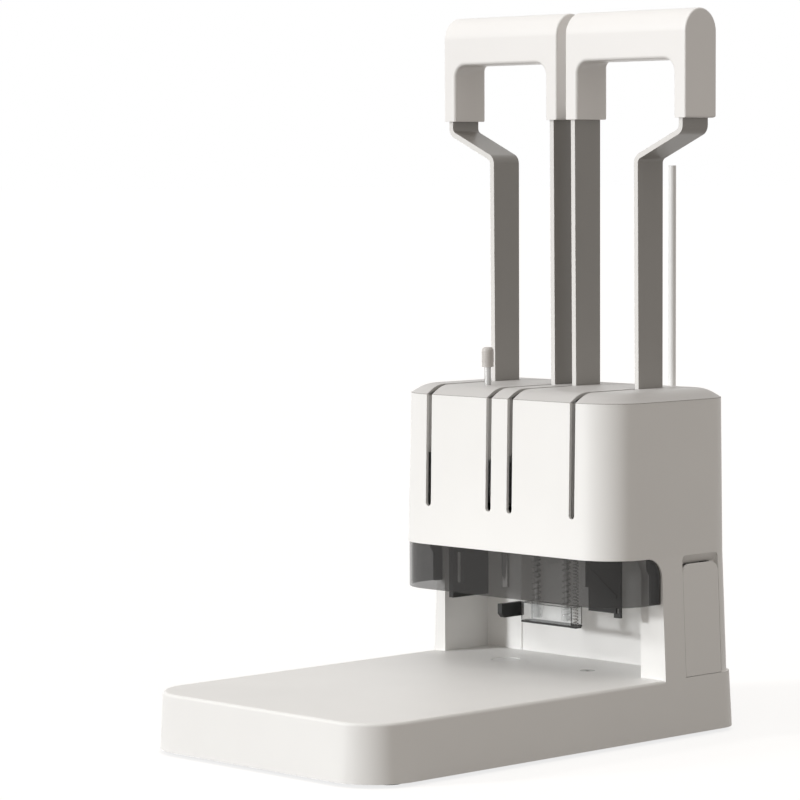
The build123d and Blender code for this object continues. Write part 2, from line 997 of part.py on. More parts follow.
with BuildPart() as top_cap:
    extrude(head_outline(head_seam, 0), amount=cap_height)
    cap_lid = top_cap.faces().sort_by(Axis.Z)[-1]
    chamfer(cap_lid.edges(), cap_slope_depth, cap_slope_height, reference=cap_lid)
    fillet(top_cap.faces().sort_by(Axis.Z)[-1].edges(), cap_crown_radius)
    add(cap_hollow.part, mode=Mode.SUBTRACT)
    upright(-tool_x, knob_y, (knob_boss_bottom, cap_inside), knob_boss_radius)
    upright(
        -tool_x,
        knob_y,
        (knob_boss_bottom, cap_top),
        knob_rod_radius + knob_fit,
        mode=Mode.SUBTRACT,
    )
    tube_hole = tube_radius + tube_fit
    upright(tube_x, tube_y, (tube_guide_top, cap_top), tube_hole, mode=Mode.SUBTRACT)
    for slot_x in (-outer_arm_x, -inner_arm_x, inner_arm_x, outer_arm_x):
        block(
            (slot_x - slot_width / 2, slot_x + slot_width / 2),
            (head_front_low, slot_rear),
            (knob_boss_bottom, cap_top),
            mode=Mode.SUBTRACT,
        )

# Rear cover with its lip and the board standoffs
board_back = cover_inner_face - cover_lip_thickness - board_standoff
board_spots = [
    (side * (board_width / 2 - 2 * case_screw_head_radius), board_bottom + height)
    for side in (-1, 1)
    for height in (2 * case_screw_head_radius, board_height - 2 * case_screw_head_radius)
]

with BuildPart() as rear_cover:
    block(
        (-cover_half_width + casing_gap, cover_half_width - casing_gap),
        (cover_inner_face, column_rear),
        (cover_bottom + casing_gap, cover_top - casing_gap),
    )
    block(
        (-cover_half_width - cover_lip, cover_half_width + cover_lip),
        (cover_inner_face - cover_lip_thickness, cover_inner_face),
        (cover_bottom - cover_lip, cover_top + cover_lip),
    )
    for spot_x, spot_z in board_spots:
        lengthwise(
            spot_x,
            (board_back, cover_inner_face - cover_lip_thickness),
            spot_z,
            case_screw_head_radius,
        )
    block(
        (inlet_x - inlet_width / 2, inlet_x + inlet_width / 2),
        (cover_inner_face - cover_lip_thickness, column_rear),
        (inlet_z - inlet_height / 2, inlet_z + inlet_height / 2),
        mode=Mode.SUBTRACT,
    )
    block(
        (switch_x - switch_width / 2, switch_x + switch_width / 2),
        (cover_inner_face - cover_lip_thickness, column_rear),
        (switch_z - switch_height / 2, switch_z + switch_height / 2),
        mode=Mode.SUBTRACT,
    )

with BuildPart() as power_inlet:
    block(
        (inlet_x - inlet_width / 2 + seat_gap, inlet_x + inlet_width / 2 - seat_gap),
        (column_rear - inlet_depth, column_rear),
        (inlet_z - inlet_height / 2 + seat_gap, inlet_z + inlet_height / 2 - seat_gap),
    )
    block(
        (inlet_x - inlet_width / 2 - inlet_flange, inlet_x + inlet_width / 2 + inlet_flange),
        (column_rear, column_rear + inlet_proud),
        (inlet_z - inlet_height / 2 - inlet_flange, inlet_z + inlet_height / 2 + inlet_flange),
    )
    block(
        (inlet_x - inlet_width / 2 + inlet_wall, inlet_x + inlet_width / 2 - inlet_wall),
        (column_rear + inlet_proud - inlet_socket_depth, column_rear + inlet_proud),
        (inlet_z - inlet_height / 2 + inlet_wall, inlet_z + inlet_height / 2 - inlet_wall),
        mode=Mode.SUBTRACT,
    )

switch_pivot_y = column_rear - switch_depth / 2

with BuildPart() as power_switch:
    block(
        (switch_x - switch_width / 2 + casing_gap, switch_x + switch_width / 2 - casing_gap),
        (switch_pivot_y, column_rear + switch_proud),
        (
            switch_z - switch_height / 2 + switch_end_gap,
            switch_z + switch_height / 2 - switch_end_gap,
        ),
    )
    crosswise(
        (switch_x - switch_width / 2 + casing_gap, switch_x + switch_width / 2 - casing_gap),
        switch_pivot_y,
        switch_z,
        switch_hub_radius,
    )

with BuildPart() as control_board:
    block(
        (-board_width / 2, board_width / 2),
        (board_back - board_thickness, board_back),
        (board_bottom, board_bottom + board_height),
    )
    board_face = board_back - board_thickness
    block(
        (transformer_x - transformer_size / 2, transformer_x + transformer_size / 2),
        (frame_spine_front - casing_gap, board_face),
        (
            board_bottom + transformer_rise,
            board_bottom + transformer_rise + transformer_size,
        ),
    )
    for place in range(capacitor_count):
        lengthwise(
            capacitor_x + place * capacitor_pitch,
            (board_face - capacitor_length / 2, board_face),
            board_bottom + board_height / 2,
            capacitor_radius,
        )

# Smoked shield, hanging under the head, and the black rail behind its side edges
with BuildPart() as smoke_shield:
    add(head_band(shield_inset, shield_thickness, shield_bottom))
    add(under_head(shield_gap), mode=Mode.INTERSECT)

with BuildPart() as shield_frame:
    add(head_band(shield_inset + shield_thickness + seat_gap, rail_thickness, shield_bottom))
    add(under_head(shield_gap), mode=Mode.INTERSECT)
    add(under_head(shield_gap, rear_shift=rail_width), mode=Mode.SUBTRACT)
    block(
        (-base_width, base_width),
        (0, rail_front),
        (shield_bottom, head_bottom),
        mode=Mode.SUBTRACT,
    )

# Brackets under the tool plate: a slotted side plate by the drill, a front plate by the press
with BuildPart() as drill_bracket:
    drill_plate = (-drill_bracket_outer, -drill_bracket_outer + drill_bracket_thickness)
    block(
        drill_plate,
        (bracket_y, drill_bracket_back),
        (drill_bracket_bottom, tool_plate_bottom),
    )
    block(
        drill_plate,
        (drill_slot_front, drill_slot_back),
        (drill_slot_low, drill_slot_high),
        mode=Mode.SUBTRACT,
    )

with BuildPart() as press_bracket:
    hook_inner = press_bracket_outer - press_hook_width
    hook_middle = press_bracket_outer - press_hook_width / 2
    with BuildSketch(Plane.XZ.offset(-bracket_y)):
        with BuildLine():
            Polyline(
                (press_bracket_inner, tool_plate_bottom),
                (press_bracket_inner, press_bracket_bottom),
                (hook_inner, press_bracket_bottom),
                (hook_inner, press_hook_bottom),
                (press_bracket_outer, press_hook_bottom),
                (press_bracket_outer, tool_plate_bottom),
                close=True,
            )
        make_face()
    extrude(amount=-press_bracket_thickness)
    block(
        (hook_middle - press_slot_width / 2, hook_middle + press_slot_width / 2),
        (bracket_y, bracket_y + press_bracket_thickness),
        (press_bracket_bottom, press_bracket_bottom + press_slot_height),
        mode=Mode.SUBTRACT,
    )
    with BuildSketch(Plane.XZ.offset(-bracket_y)):
        with BuildLine():
            Polyline(
                (press_bracket_inner + press_rib_width, press_rib_high + press_rib_width),
                (press_bracket_inner + press_rib_width, press_rib_high),
                (hook_middle, press_rib_low),
                (hook_middle, press_rib_low + press_rib_width),
                close=True,
            )
        make_face()
    extrude(amount=press_rib_depth)

# Pivot shaft through both frame plates, with a clip at each end
with BuildPart() as pivot_shaft:
    crosswise((-shaft_end, shaft_end), pivot_y, pivot_z, shaft_radius)
    chamfer(pivot_shaft.edges().filter_by(GeomType.CIRCLE), shaft_chamfer)

with BuildPart() as shaft_clips:
    for side in (-1, 1):
        seat = side * (frame_x + frame_thickness + seat_gap)
        crosswise((seat, seat + side * clip_thickness), pivot_y, pivot_z, clip_radius)
        crosswise(
            (seat, seat + side * clip_thickness),
            pivot_y,
            pivot_z,
            shaft_radius,
            mode=Mode.SUBTRACT,
        )


# Levers: each is a hub with two arms, two toothed sectors, a grip and a return spring
def lever_hub(side):
    """Tube on the pivot shaft with a journal for each arm."""
    with BuildPart() as hub:
        outer = side * (flange_inner - hub_side_gap + flange_thickness)
        inner = side * hub_side_gap
        arm_outer = side * (outer_arm_x - arm_thickness / 2)
        arm_inner = side * (inner_arm_x + arm_thickness / 2)
        crosswise((inner, outer), pivot_y, pivot_z, journal_radius)
        crosswise((arm_inner, arm_outer), pivot_y, pivot_z, hub_radius)
        bore = shaft_radius + shaft_fit
        crosswise((inner, outer), pivot_y, pivot_z, bore, mode=Mode.SUBTRACT)
    return hub.part


def arm_side_view(x_low, x_high):
    """Side view of an arm, extruded between two X places: a bar with a round end at the pivot."""
    with BuildPart() as slab:
        with BuildSketch(Plane.YZ.offset(x_low)):
            with BuildLine():
                Polyline(
                    (arm_centre - arm_end_radius, pivot_z),
                    (arm_front_high, arm_tip),
                    (arm_rear, arm_tip),
                    (arm_centre + arm_end_radius, pivot_z),
                )
                ThreePointArc(
                    (arm_centre + arm_end_radius, pivot_z),
                    (arm_centre, pivot_z - arm_end_radius),
                    (arm_centre - arm_end_radius, pivot_z),
                )
            make_face()
        extrude(amount=x_high - x_low)
        reach = (x_low, x_high)
        crosswise(reach, pivot_y, pivot_z, journal_radius + arm_fit, mode=Mode.SUBTRACT)
    return slab.part


def cranked_bar(side):
    """Front view of the outer arm, which steps outwards below the grip, extruded in Y."""
    leg_x = grip_outer - grip_leg / 2
    with BuildPart() as bar:
        with BuildSketch(Plane.XZ.offset(-arm_rear)):
            with BuildLine() as centre_line:
                FilletPolyline(
                    (side * outer_arm_x, pivot_z - 2 * arm_end_radius),
                    (side * outer_arm_x, crank_low),
                    (side * leg_x, crank_high),
                    (side * leg_x, arm_tip),
                    radius=crank_radius,
                )
            trace(centre_line.line, line_width=arm_thickness)
        extrude(amount=arm_rear - arm_front_high)
    return bar.part


def window_outline(side, depth, corner_radius):
    """Face of the hand opening at one depth, with its two upper corners rounded."""
    window_width = grip_outer - grip_inner - 2 * grip_leg
    window_height = grip_bar_bottom - grip_bottom
    window_x = side * (grip_outer + grip_inner) / 2
    with BuildSketch(Plane.XZ.offset(-depth)) as outline:
        with Locations((window_x, (grip_bar_bottom + grip_bottom) / 2)):
            window = Rectangle(window_width, window_height)
        fillet(window.vertices().group_by(Axis.Y)[-1], corner_radius)
    return outline.sketch


def lever_grip(side):
    """Closed grip: an arched bar on two legs, with a pocket in each leg for its arm."""
    middle = (grip_front + grip_rear) / 2
    arch = (grip_rear - grip_front) / 2
    with BuildPart() as grip:
        with BuildSketch(Plane.YZ.offset(side * grip_inner)):
            with BuildLine():
                Polyline(
                    (grip_rear, grip_top - arch),
                    (grip_rear, grip_bottom),
                    (grip_front, grip_bottom),
                    (grip_front, grip_top - arch),
                )
                ThreePointArc(
                    (grip_front, grip_top - arch),
                    (middle, grip_top),
                    (grip_rear, grip_top - arch),
                )
            make_face()
        extrude(amount=side * (grip_outer - grip_inner))
        ends = grip.faces().filter_by(Axis.X).edges()
        fillet(ends, grip_round)
        front_window = window_outline(side, grip_front, grip_window_front_radius)
        rear_window = window_outline(side, grip_rear, grip_window_rear_radius)
        loft([front_window, rear_window], ruled=True, mode=Mode.SUBTRACT)
        for leg_x in (grip_outer - grip_leg / 2, inner_arm_x):
            block(
                (
                    side * leg_x - arm_thickness / 2 - arm_fit,
                    side * leg_x + arm_thickness / 2 + arm_fit,
                ),
                (arm_front_high - arm_fit - grip_pocket_gap, arm_rear + arm_fit),
                (grip_bottom, arm_tip + arm_fit),
                mode=Mode.SUBTRACT,
            )
        for leg_x, screw_z in grip_screw_spots(side):
            shank = (grip_rear - grip_screw_length, grip_rear)
            sink = (grip_rear - grip_screw_head_height, grip_rear)
            screw_hole = grip_screw_radius + grip_screw_gap
            head_hole = grip_screw_head_radius + grip_screw_gap
            lengthwise(leg_x, shank, screw_z, screw_hole, mode=Mode.SUBTRACT)
            lengthwise(leg_x, sink, screw_z, head_hole, mode=Mode.SUBTRACT)
    return grip.part


def grip_screw_spots(side):
    """X and Z places of the grip screws: two in the outer leg, then two in the inner leg."""
    return [
        (side * leg_x, screw_z)
        for leg_x in (grip_outer - grip_leg / 2, inner_arm_x)
        for screw_z in (grip_screw_low, grip_screw_high)
    ]


def bore_arm(spots):
    """Cut the grip screws' holes into the rear edge of an arm."""
    for leg_x, screw_z in spots:
        reach = (grip_rear - grip_screw_length - grip_screw_gap, grip_rear)
        screw_hole = grip_screw_radius + grip_screw_gap
        lengthwise(leg_x, reach, screw_z, screw_hole, mode=Mode.SUBTRACT)


def sector_gears(side):
    """Two toothed sectors on the hub, one in front of each rack."""
    with BuildPart() as gears:
        for edge in (-1, 1):
            middle = side * tool_x + edge * (carriage_half_width + rack_width / 2)
            with BuildSketch(Plane.YZ.offset(middle)):
                with BuildLine():
                    Polyline(*gear_outline(), close=True)
                make_face()
                with Locations((pivot_y, pivot_z)):
                    Circle(gear_hub_radius)
                    Circle(hub_radius + arm_fit, mode=Mode.SUBTRACT)
            extrude(amount=gear_width / 2, both=True)
    return gears.part


def return_spring(side):
    """Wound spring on the outer journal, between the arm and the frame plate."""
    start = outer_arm_x + arm_thickness / 2 + lever_spring_wire + spring_seat_gap
    pitch = (lever_spring_length - 2 * lever_spring_wire) / lever_spring_turns
    frame = Plane(
        origin=(side * start, pivot_y, pivot_z),
        x_dir=(0, 1, 0),
        z_dir=(side, 0, 0),
    )
    points, tangents = helix_points(frame, lever_spring_radius, pitch, lever_spring_turns)
    lead = 2 * lever_spring_wire
    return wire_tube(points, tangents, lever_spring_wire, lead, lead)


levers = {}
for side_name, side in (("left", -1), ("right", 1)):
    with BuildPart() as hub_part:
        add(lever_hub(side))
    with BuildPart() as inner_arm:
        inner_edge = side * inner_arm_x - arm_thickness / 2
        add(arm_side_view(inner_edge, inner_edge + arm_thickness))
        bore_arm(grip_screw_spots(side)[2:])
    with BuildPart() as outer_arm:
        add(cranked_bar(side))
        low_edge = min(side * grip_outer, 0)
        add(arm_side_view(low_edge, low_edge + grip_outer), mode=Mode.INTERSECT)
        reach = (side * (outer_arm_x - arm_thickness), side * (outer_arm_x + arm_thickness))
        crosswise(reach, pivot_y, pivot_z, journal_radius + arm_fit, mode=Mode.SUBTRACT)
        bore_arm(grip_screw_spots(side)[:2])
    with BuildPart() as grip_part:
        add(lever_grip(side))
    with BuildPart() as grip_screws:
        for leg_x, screw_z in grip_screw_spots(side):
            shank = (grip_rear - grip_screw_length + grip_screw_gap, grip_rear)
            head = (grip_rear - grip_screw_head_height, grip_rear)
            lengthwise(leg_x, shank, screw_z, grip_screw_radius)
            lengthwise(leg_x, head, screw_z, grip_screw_head_radius)
    levers[f"{side_name}_hub"] = hub_part.part
    levers[f"{side_name}_inner_arm"] = inner_arm.part
    levers[f"{side_name}_outer_arm"] = outer_arm.part
    levers[f"{side_name}_grip"] = grip_part.part
    levers[f"{side_name}_grip_screws"] = grip_screws.part
    levers[f"{side_name}_sector_gears"] = sector_gears(side)
    levers[f"{side_name}_return_spring"] = return_spring(side)


# Tool carriages on their guide rods, with the racks that the sectors drive
def carriage_plate(side):
    """Carriage plate with its two guide bores."""
    with BuildPart() as plate:
        block(
            (side * tool_x - carriage_half_width, side * tool_x + carriage_half_width),
            (carriage_front, carriage_back),
            (carriage_bottom, carriage_top),
        )
        fillet(plate.edges().filter_by(Axis.Z), carriage_round)
        for edge in (-1, 1):
            upright(
                side * tool_x + edge * guide_spread,
                guide_y,
                (carriage_bottom, carriage_top),
                guide_radius + guide_fit,
                mode=Mode.SUBTRACT,
            )
    return plate.part


def tool_racks(side):
    """Two racks, one on each side face of the carriage."""
    with BuildPart() as racks:
        for edge in (-1, 1):
            start = side * tool_x + edge * rack_inner
            with BuildSketch(Plane.YZ.offset(start)):
                with BuildLine():
                    Polyline(*rack_outline(), close=True)
                make_face()
            extrude(amount=edge * rack_width)
    return racks.part


with BuildPart() as drill_carriage:
    add(carriage_plate(-1))
    upright(-tool_x, tool_y, (quill_bottom, carriage_bottom), quill_radius)
    upright(
        -tool_x,
        tool_y,
        (quill_bottom, carriage_top),
        bearing_radius + spindle_fit,
        mode=Mode.SUBTRACT,
    )

with BuildPart() as drill_racks:
    add(tool_racks(-1))

with BuildPart() as spindle_bearings:
    bearing_bottoms = (quill_bottom + bearing_inset, carriage_top - bearing_width - bearing_inset)
    for bearing_bottom in bearing_bottoms:
        upright(-tool_x, tool_y, (bearing_bottom, bearing_bottom + bearing_width), bearing_radius)
    upright(
        -tool_x,
        tool_y,
        (quill_bottom, carriage_top),
        spindle_radius + spindle_fit,
        mode=Mode.SUBTRACT,
    )

with BuildPart() as drill_motor:
    upright(-tool_x, tool_y, (carriage_top, carriage_top + motor_length), motor_radius)
    fillet(drill_motor.faces().sort_by(Axis.Z)[-1].edges(), motor_round)
    upright(
        -tool_x,
        tool_y,
        (carriage_top, carriage_top + motor_bore_depth),
        spindle_radius + spindle_fit,
        mode=Mode.SUBTRACT,
    )

with BuildPart() as spindle:
    spindle_top = carriage_top + motor_bore_depth - spindle_end_gap
    upright(-tool_x, tool_y, (chuck_top - spindle_reach, spindle_top), spindle_radius)

with BuildPart() as drill_chuck:
    upright(-tool_x, tool_y, (chuck_shoulder, chuck_top), chuck_radius)
    with Locations((-tool_x, tool_y, chuck_bottom)):
        Cone(
            chuck_nose_radius,
            chuck_radius,
            chuck_shoulder - chuck_bottom,
            align=(Align.CENTER, Align.CENTER, Align.MIN),
        )
    upright(
        -tool_x,
        tool_y,
        (chuck_top - spindle_reach, chuck_top),
        spindle_radius,
        mode=Mode.SUBTRACT,
    )
    upright(-tool_x, tool_y, (chuck_bottom, bit_top), bit_radius, mode=Mode.SUBTRACT)

with BuildPart() as drill_bit:
    upright(-tool_x, tool_y, (bit_tip, bit_top), bit_radius)
    chamfer(drill_bit.faces().sort_by(Axis.Z)[0].edges(), bit_bevel)
    upright(-tool_x, tool_y, (bit_tip, bit_top), bit_bore_radius, mode=Mode.SUBTRACT)

with BuildPart() as press_carriage:
    add(carriage_plate(1))

with BuildPart() as press_racks:
    add(tool_racks(1))

with BuildPart() as heater_block:
    block(
        (tool_x - heater_half_width, tool_x + heater_half_width),
        (tool_y - heater_half_depth, tool_y + heater_half_depth),
        (heater_bottom, carriage_bottom),
    )
    upright(
        tool_x,
        tool_y,
        (heater_bottom, heater_bottom + punch_shank_depth),
        punch_shank_radius,
        mode=Mode.SUBTRACT,
    )

with BuildPart() as rivet_punch:
    shank_top = heater_bottom + punch_shank_depth
    upright(tool_x, tool_y, (punch_shoulder, shank_top), punch_shank_radius)
    upright(tool_x, tool_y, (punch_tip, punch_shoulder), punch_pin_radius)

# Press foot: clear body with a steel sole, hung on two rods, and the black lifting tab at its end
with BuildPart() as press_foot:
    block(
        (-foot_half_width, foot_half_width),
        (foot_front, foot_back),
        (foot_bottom + foot_plate_thickness, foot_top),
    )
    fillet(press_foot.edges().filter_by(Axis.Z), foot_round)
    for side in (-1, 1):
        upright(
            side * foot_rod_x,
            foot_rod_y,
            (foot_pocket_floor, foot_top),
            foot_pocket_radius,
            mode=Mode.SUBTRACT,
        )

with BuildPart() as foot_plate:
    block(
        (-foot_half_width, foot_half_width),
        (foot_front, foot_back),
        (foot_bottom, foot_bottom + foot_plate_thickness),
    )
    block(
        (foot_half_width, return_spring_x + spring_ear_width / 2),
        (return_spring_y - spring_ear_width / 2, return_spring_y + spring_ear_width / 2),
        (foot_bottom, foot_bottom + foot_plate_thickness),
    )

with BuildPart() as foot_tab:
    with BuildSketch(Plane.YZ.offset(-foot_half_width)):
        with BuildLine():
            Polyline(
                (foot_tab_front, foot_top),
                (foot_tab_back, foot_top),
                (foot_tab_back, foot_tab_bottom),
                (foot_tab_front + foot_tab_chamfer, foot_tab_bottom),
                (foot_tab_front, foot_tab_bottom + foot_tab_chamfer),
                close=True,
            )
        make_face()
    extrude(amount=-foot_tab_thickness)

with BuildPart() as foot_rods:
    for side in (-1, 1):
        rod_x = side * foot_rod_x
        upright(rod_x, foot_rod_y, (foot_pocket_floor, foot_rod_top), foot_rod_radius)
        head_low = foot_rod_top - foot_rod_head_height
        upright(rod_x, foot_rod_y, (head_low, foot_rod_top), foot_rod_head_radius)

# Foot springs: one on each rod, from the pocket floor to the tool plate
foot_spring_low = foot_pocket_floor + foot_spring_wire + spring_seat_gap + 2 * foot_spring_wire
foot_spring_high = tool_plate_bottom - foot_spring_wire - spring_seat_gap - 2 * foot_spring_wire
foot_spring_pitch = (foot_spring_high - foot_spring_low) / foot_spring_turns


def foot_spring(side):
    """Wound spring round one foot rod."""
    frame = Plane(origin=(side * foot_rod_x, foot_rod_y, foot_spring_low))
    points, tangents = helix_points(
        frame, foot_spring_radius, foot_spring_pitch, foot_spring_turns
    )
    lead = 2 * foot_spring_wire
    return wire_tube(points, tangents, foot_spring_wire, lead, lead)


with BuildPart() as foot_springs:
    for side in (-1, 1):
        add(foot_spring(side))

# Thin return spring beside the foot, from the ear of the sole up to the tool plate
sole_top = foot_bottom + foot_plate_thickness
return_low = sole_top + 3 * return_spring_wire + spring_seat_gap
return_high = tool_plate_bottom - 3 * return_spring_wire - spring_seat_gap
return_pitch = (return_high - return_low) / return_spring_turns
return_frame = Plane(origin=(return_spring_x, return_spring_y, return_low))
coil_points, coil_tangents = helix_points(
    return_frame, return_spring_radius, return_pitch, return_spring_turns
)

with BuildPart() as foot_return_spring:
    add(
        wire_tube(
            coil_points,
            coil_tangents,
            return_spring_wire,
            2 * return_spring_wire,
            2 * return_spring_wire,
        )
    )

report_gap("foot spring", foot_spring_pitch, foot_spring_wire, foot_spring_radius)
report_gap("return spring", return_pitch, return_spring_wire, return_spring_radius)
report_gap(
    "lever spring",
    (lever_spring_length - 2 * lever_spring_wire) / lever_spring_turns,
    lever_spring_wire,
    lever_spring_radius,
)

# Chip bin in the right cheek; its outer face follows the column
with BuildPart() as chip_bin:
    add(column_block(0))
    block(
        (bin_inner, base_width),
        (bin_front + bin_clearance, bin_back - bin_clearance),
        (base_top + bin_clearance, bin_top),
        mode=Mode.INTERSECT,
    )
    top_ends = chip_bin.edges().filter_by(Axis.X).group_by(Axis.Z)[-1]
    fillet(top_ends, bin_corner_radius)
    block(
        (bin_inner + bin_wall, column_half_width_high - bin_wall),
        (bin_front + bin_clearance + bin_wall, bin_back - bin_clearance - bin_wall),
        (base_top + bin_clearance + bin_wall, bin_top),
        mode=Mode.SUBTRACT,
    )

# Rivet tube standing in its guide, and the spindle lock knob
with BuildPart() as rivet_tube:
    upright(tube_x, tube_y, (tube_bottom, tube_top), tube_radius)
    upright(tube_x, tube_y, (tube_bottom, tube_top), tube_bore_radius, mode=Mode.SUBTRACT)

with BuildPart() as tube_guide:
    upright(tube_x, tube_y, (tube_guide_bottom, tube_guide_top), tube_guide_radius)
    upright(
        tube_x,
        tube_y,
        (tube_bottom, tube_guide_top),
        tube_radius + tube_fit,
        mode=Mode.SUBTRACT,
    )

with BuildPart() as lock_knob:
    upright(-tool_x, knob_y, (knob_rod_bottom, knob_bottom), knob_rod_radius)
    upright(
        -tool_x,
        knob_y,
        (knob_rod_bottom, knob_rod_bottom + knob_collar_height),
        knob_collar_radius,
    )
    upright(-tool_x, knob_y, (knob_bottom, knob_top), knob_radius)
    fillet(lock_knob.faces().sort_by(Axis.Z)[-1].edges(), knob_round)

pieces = {
    "base_shell": base_shell.part,
    "base_plate": base_plate.part,
    "rubber_feet": rubber_feet.part,
    "case_screws": case_screws.part,
    "cutting_disc": cutting_disc.part,
    "lower_die": lower_die.part,
    "frame_left": frame_left.part,
    "frame_right": frame_right.part,
    "frame_bolts": frame_bolts.part,
    "tool_plate": tool_plate.part,
    "top_bridge": top_bridge.part,
    "base_beam": base_beam.part,
    "guide_rods": guide_rods.part,
    "housing_shell": housing_shell.part,
    "top_cap": top_cap.part,
    "rear_cover": rear_cover.part,
    "power_inlet": power_inlet.part,
    "power_switch": power_switch.part,
    "control_board": control_board.part,
    "smoke_shield": smoke_shield.part,
    "shield_frame": shield_frame.part,
    "drill_bracket": drill_bracket.part,
    "press_bracket": press_bracket.part,
    "pivot_shaft": pivot_shaft.part,
    "shaft_clips": shaft_clips.part,
    "drill_carriage": drill_carriage.part,
    "drill_racks": drill_racks.part,
    "spindle_bearings": spindle_bearings.part,
    "drill_motor": drill_motor.part,
    "spindle": spindle.part,
    "drill_chuck": drill_chuck.part,
    "drill_bit": drill_bit.part,
    "press_carriage": press_carriage.part,
    "press_racks": press_racks.part,
    "heater_block": heater_block.part,
    "rivet_punch": rivet_punch.part,
    "press_foot": press_foot.part,
    "foot_plate": foot_plate.part,
    "foot_tab": foot_tab.part,
    "foot_rods": foot_rods.part,
    "foot_springs": foot_springs.part,
    "foot_return_spring": foot_return_spring.part,
    "chip_bin": chip_bin.part,
    "rivet_tube": rivet_tube.part,
    "tube_guide": tube_guide.part,
    "lock_knob": lock_knob.part,
    **levers,
}

os.makedirs("parts", exist_ok=True)
for piece_name, piece in pieces.items():
    piece.label = piece_name
    export_step(piece, f"parts/{piece_name}.step")
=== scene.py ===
"""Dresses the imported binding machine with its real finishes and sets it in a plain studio."""

from __future__ import annotations

import json
import logging
import math
from collections.abc import Callable, Iterable
from dataclasses import dataclass, field
from enum import Enum
from typing import Any

import bmesh
import bpy
from bmesh.types import BMesh
from bpy.types import ID, Material, Node, NodeSocket, NodeTree, Object, World
from mathutils import Matrix, Vector

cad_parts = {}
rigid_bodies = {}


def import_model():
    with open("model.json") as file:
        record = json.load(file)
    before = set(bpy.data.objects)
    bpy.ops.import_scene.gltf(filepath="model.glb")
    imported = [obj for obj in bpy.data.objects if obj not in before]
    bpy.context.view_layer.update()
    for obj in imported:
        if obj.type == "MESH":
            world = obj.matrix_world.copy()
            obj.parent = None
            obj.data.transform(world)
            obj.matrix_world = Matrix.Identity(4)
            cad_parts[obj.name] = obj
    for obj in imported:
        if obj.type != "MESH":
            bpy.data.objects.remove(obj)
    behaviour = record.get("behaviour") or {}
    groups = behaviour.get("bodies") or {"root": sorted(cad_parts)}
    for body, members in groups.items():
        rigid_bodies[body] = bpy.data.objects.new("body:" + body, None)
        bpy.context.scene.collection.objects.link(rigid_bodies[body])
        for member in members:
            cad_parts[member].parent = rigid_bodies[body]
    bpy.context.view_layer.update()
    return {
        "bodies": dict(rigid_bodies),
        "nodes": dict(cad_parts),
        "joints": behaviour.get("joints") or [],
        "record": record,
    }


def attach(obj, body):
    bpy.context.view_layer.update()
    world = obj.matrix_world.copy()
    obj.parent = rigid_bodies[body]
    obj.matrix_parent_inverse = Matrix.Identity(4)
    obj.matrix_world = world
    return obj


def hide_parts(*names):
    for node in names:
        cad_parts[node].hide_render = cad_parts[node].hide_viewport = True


LOG = logging.getLogger("binding_machine")
Pair = tuple[float, float]
Point = tuple[float, float, float]
MM = 0.001
WHITE = (1.0, 1.0, 1.0, 1.0)
# Places of the colour sockets on Blender's Mix node: two inputs and the result
MIX_FIRST, MIX_SECOND, MIX_RESULT = 6, 7, 2


def linear_from_hex(code: str) -> tuple[float, float, float, float]:
    """Turn an sRGB hex colour into linear values.

    Args:
        code: Six hex digits with a leading hash mark.

    Returns:
        Linear red, green, blue and an alpha of one.
    """
    channels = [int(code[start : start + 2], 16) / 255 for start in (1, 3, 5)]
    linear = [c / 12.92 if c <= 0.04045 else ((c + 0.055) / 1.055) ** 2.4 for c in channels]
    return (*linear, 1.0)


def add_node(
    tree: NodeTree,
    kind: str,
    links: dict[str | int, Any] | None = None,
    values: dict[str | int, Any] | None = None,
    **settings: Any,
) -> Node:
    """Add one node with its settings, its values and its incoming links.

    Args:
        tree: The shader or geometry tree.
        kind: Blender's type name of the node.
        links: Input socket to the output socket that feeds it.
        values: Input socket to its plain value.
        **settings: Properties of the node itself.

    Returns:
        The new node.
    """
    node = tree.nodes.new(kind)
    for name, value in settings.items():
        setattr(node, name, value)
    for socket, value in (values or {}).items():
        node.inputs[socket].default_value = value
    for socket, source in (links or {}).items():
        tree.links.new(source, node.inputs[socket])
    return node


def mix_colours(
    tree: NodeTree,
    share: NodeSocket,
    first: tuple[float, ...] | NodeSocket,
    second: tuple[float, ...],
) -> NodeSocket:
    """Add a node that turns one colour into another.

    Args:
        tree: The shader tree.
        share: How far the colour has turned, from zero to one.
        first: The colour at zero, plain or from another node.
        second: The plain colour at one.

    Returns:
        The mixed colour's socket.
    """
    mix = add_node(tree, "ShaderNodeMix", {"Factor": share}, data_type="RGBA")
    if isinstance(first, tuple):
        mix.inputs[MIX_FIRST].default_value = first
    else:
        tree.links.new(first, mix.inputs[MIX_FIRST])
    mix.inputs[MIX_SECOND].default_value = second
    return mix.outputs[MIX_RESULT]


def emptied_tree(owner: Material | World) -> NodeTree:
    """Switch on the node tree of a material or world and empty it.

    Args:
        owner: The material or world.

    Returns:
        Its tree, with no node in it.
    """
    owner.use_nodes = True
    owner.node_tree.nodes.clear()
    return owner.node_tree


def put_in_scene(name: str, data: ID) -> Object:
    """Make an object of a mesh, lamp or camera and put it in the scene.

    Args:
        name: Name of the object.
        data: What it shows.

    Returns:
        The object, at the origin.
    """
    made = bpy.data.objects.new(name, data)
    bpy.context.scene.collection.objects.link(made)
    return made


class Sheen(Enum):
    """How closely a surface reflects, as a roughness."""

    POLISHED = 0.12
    SATIN = 0.34
    MOULDED = 0.48
    DULL = 0.72


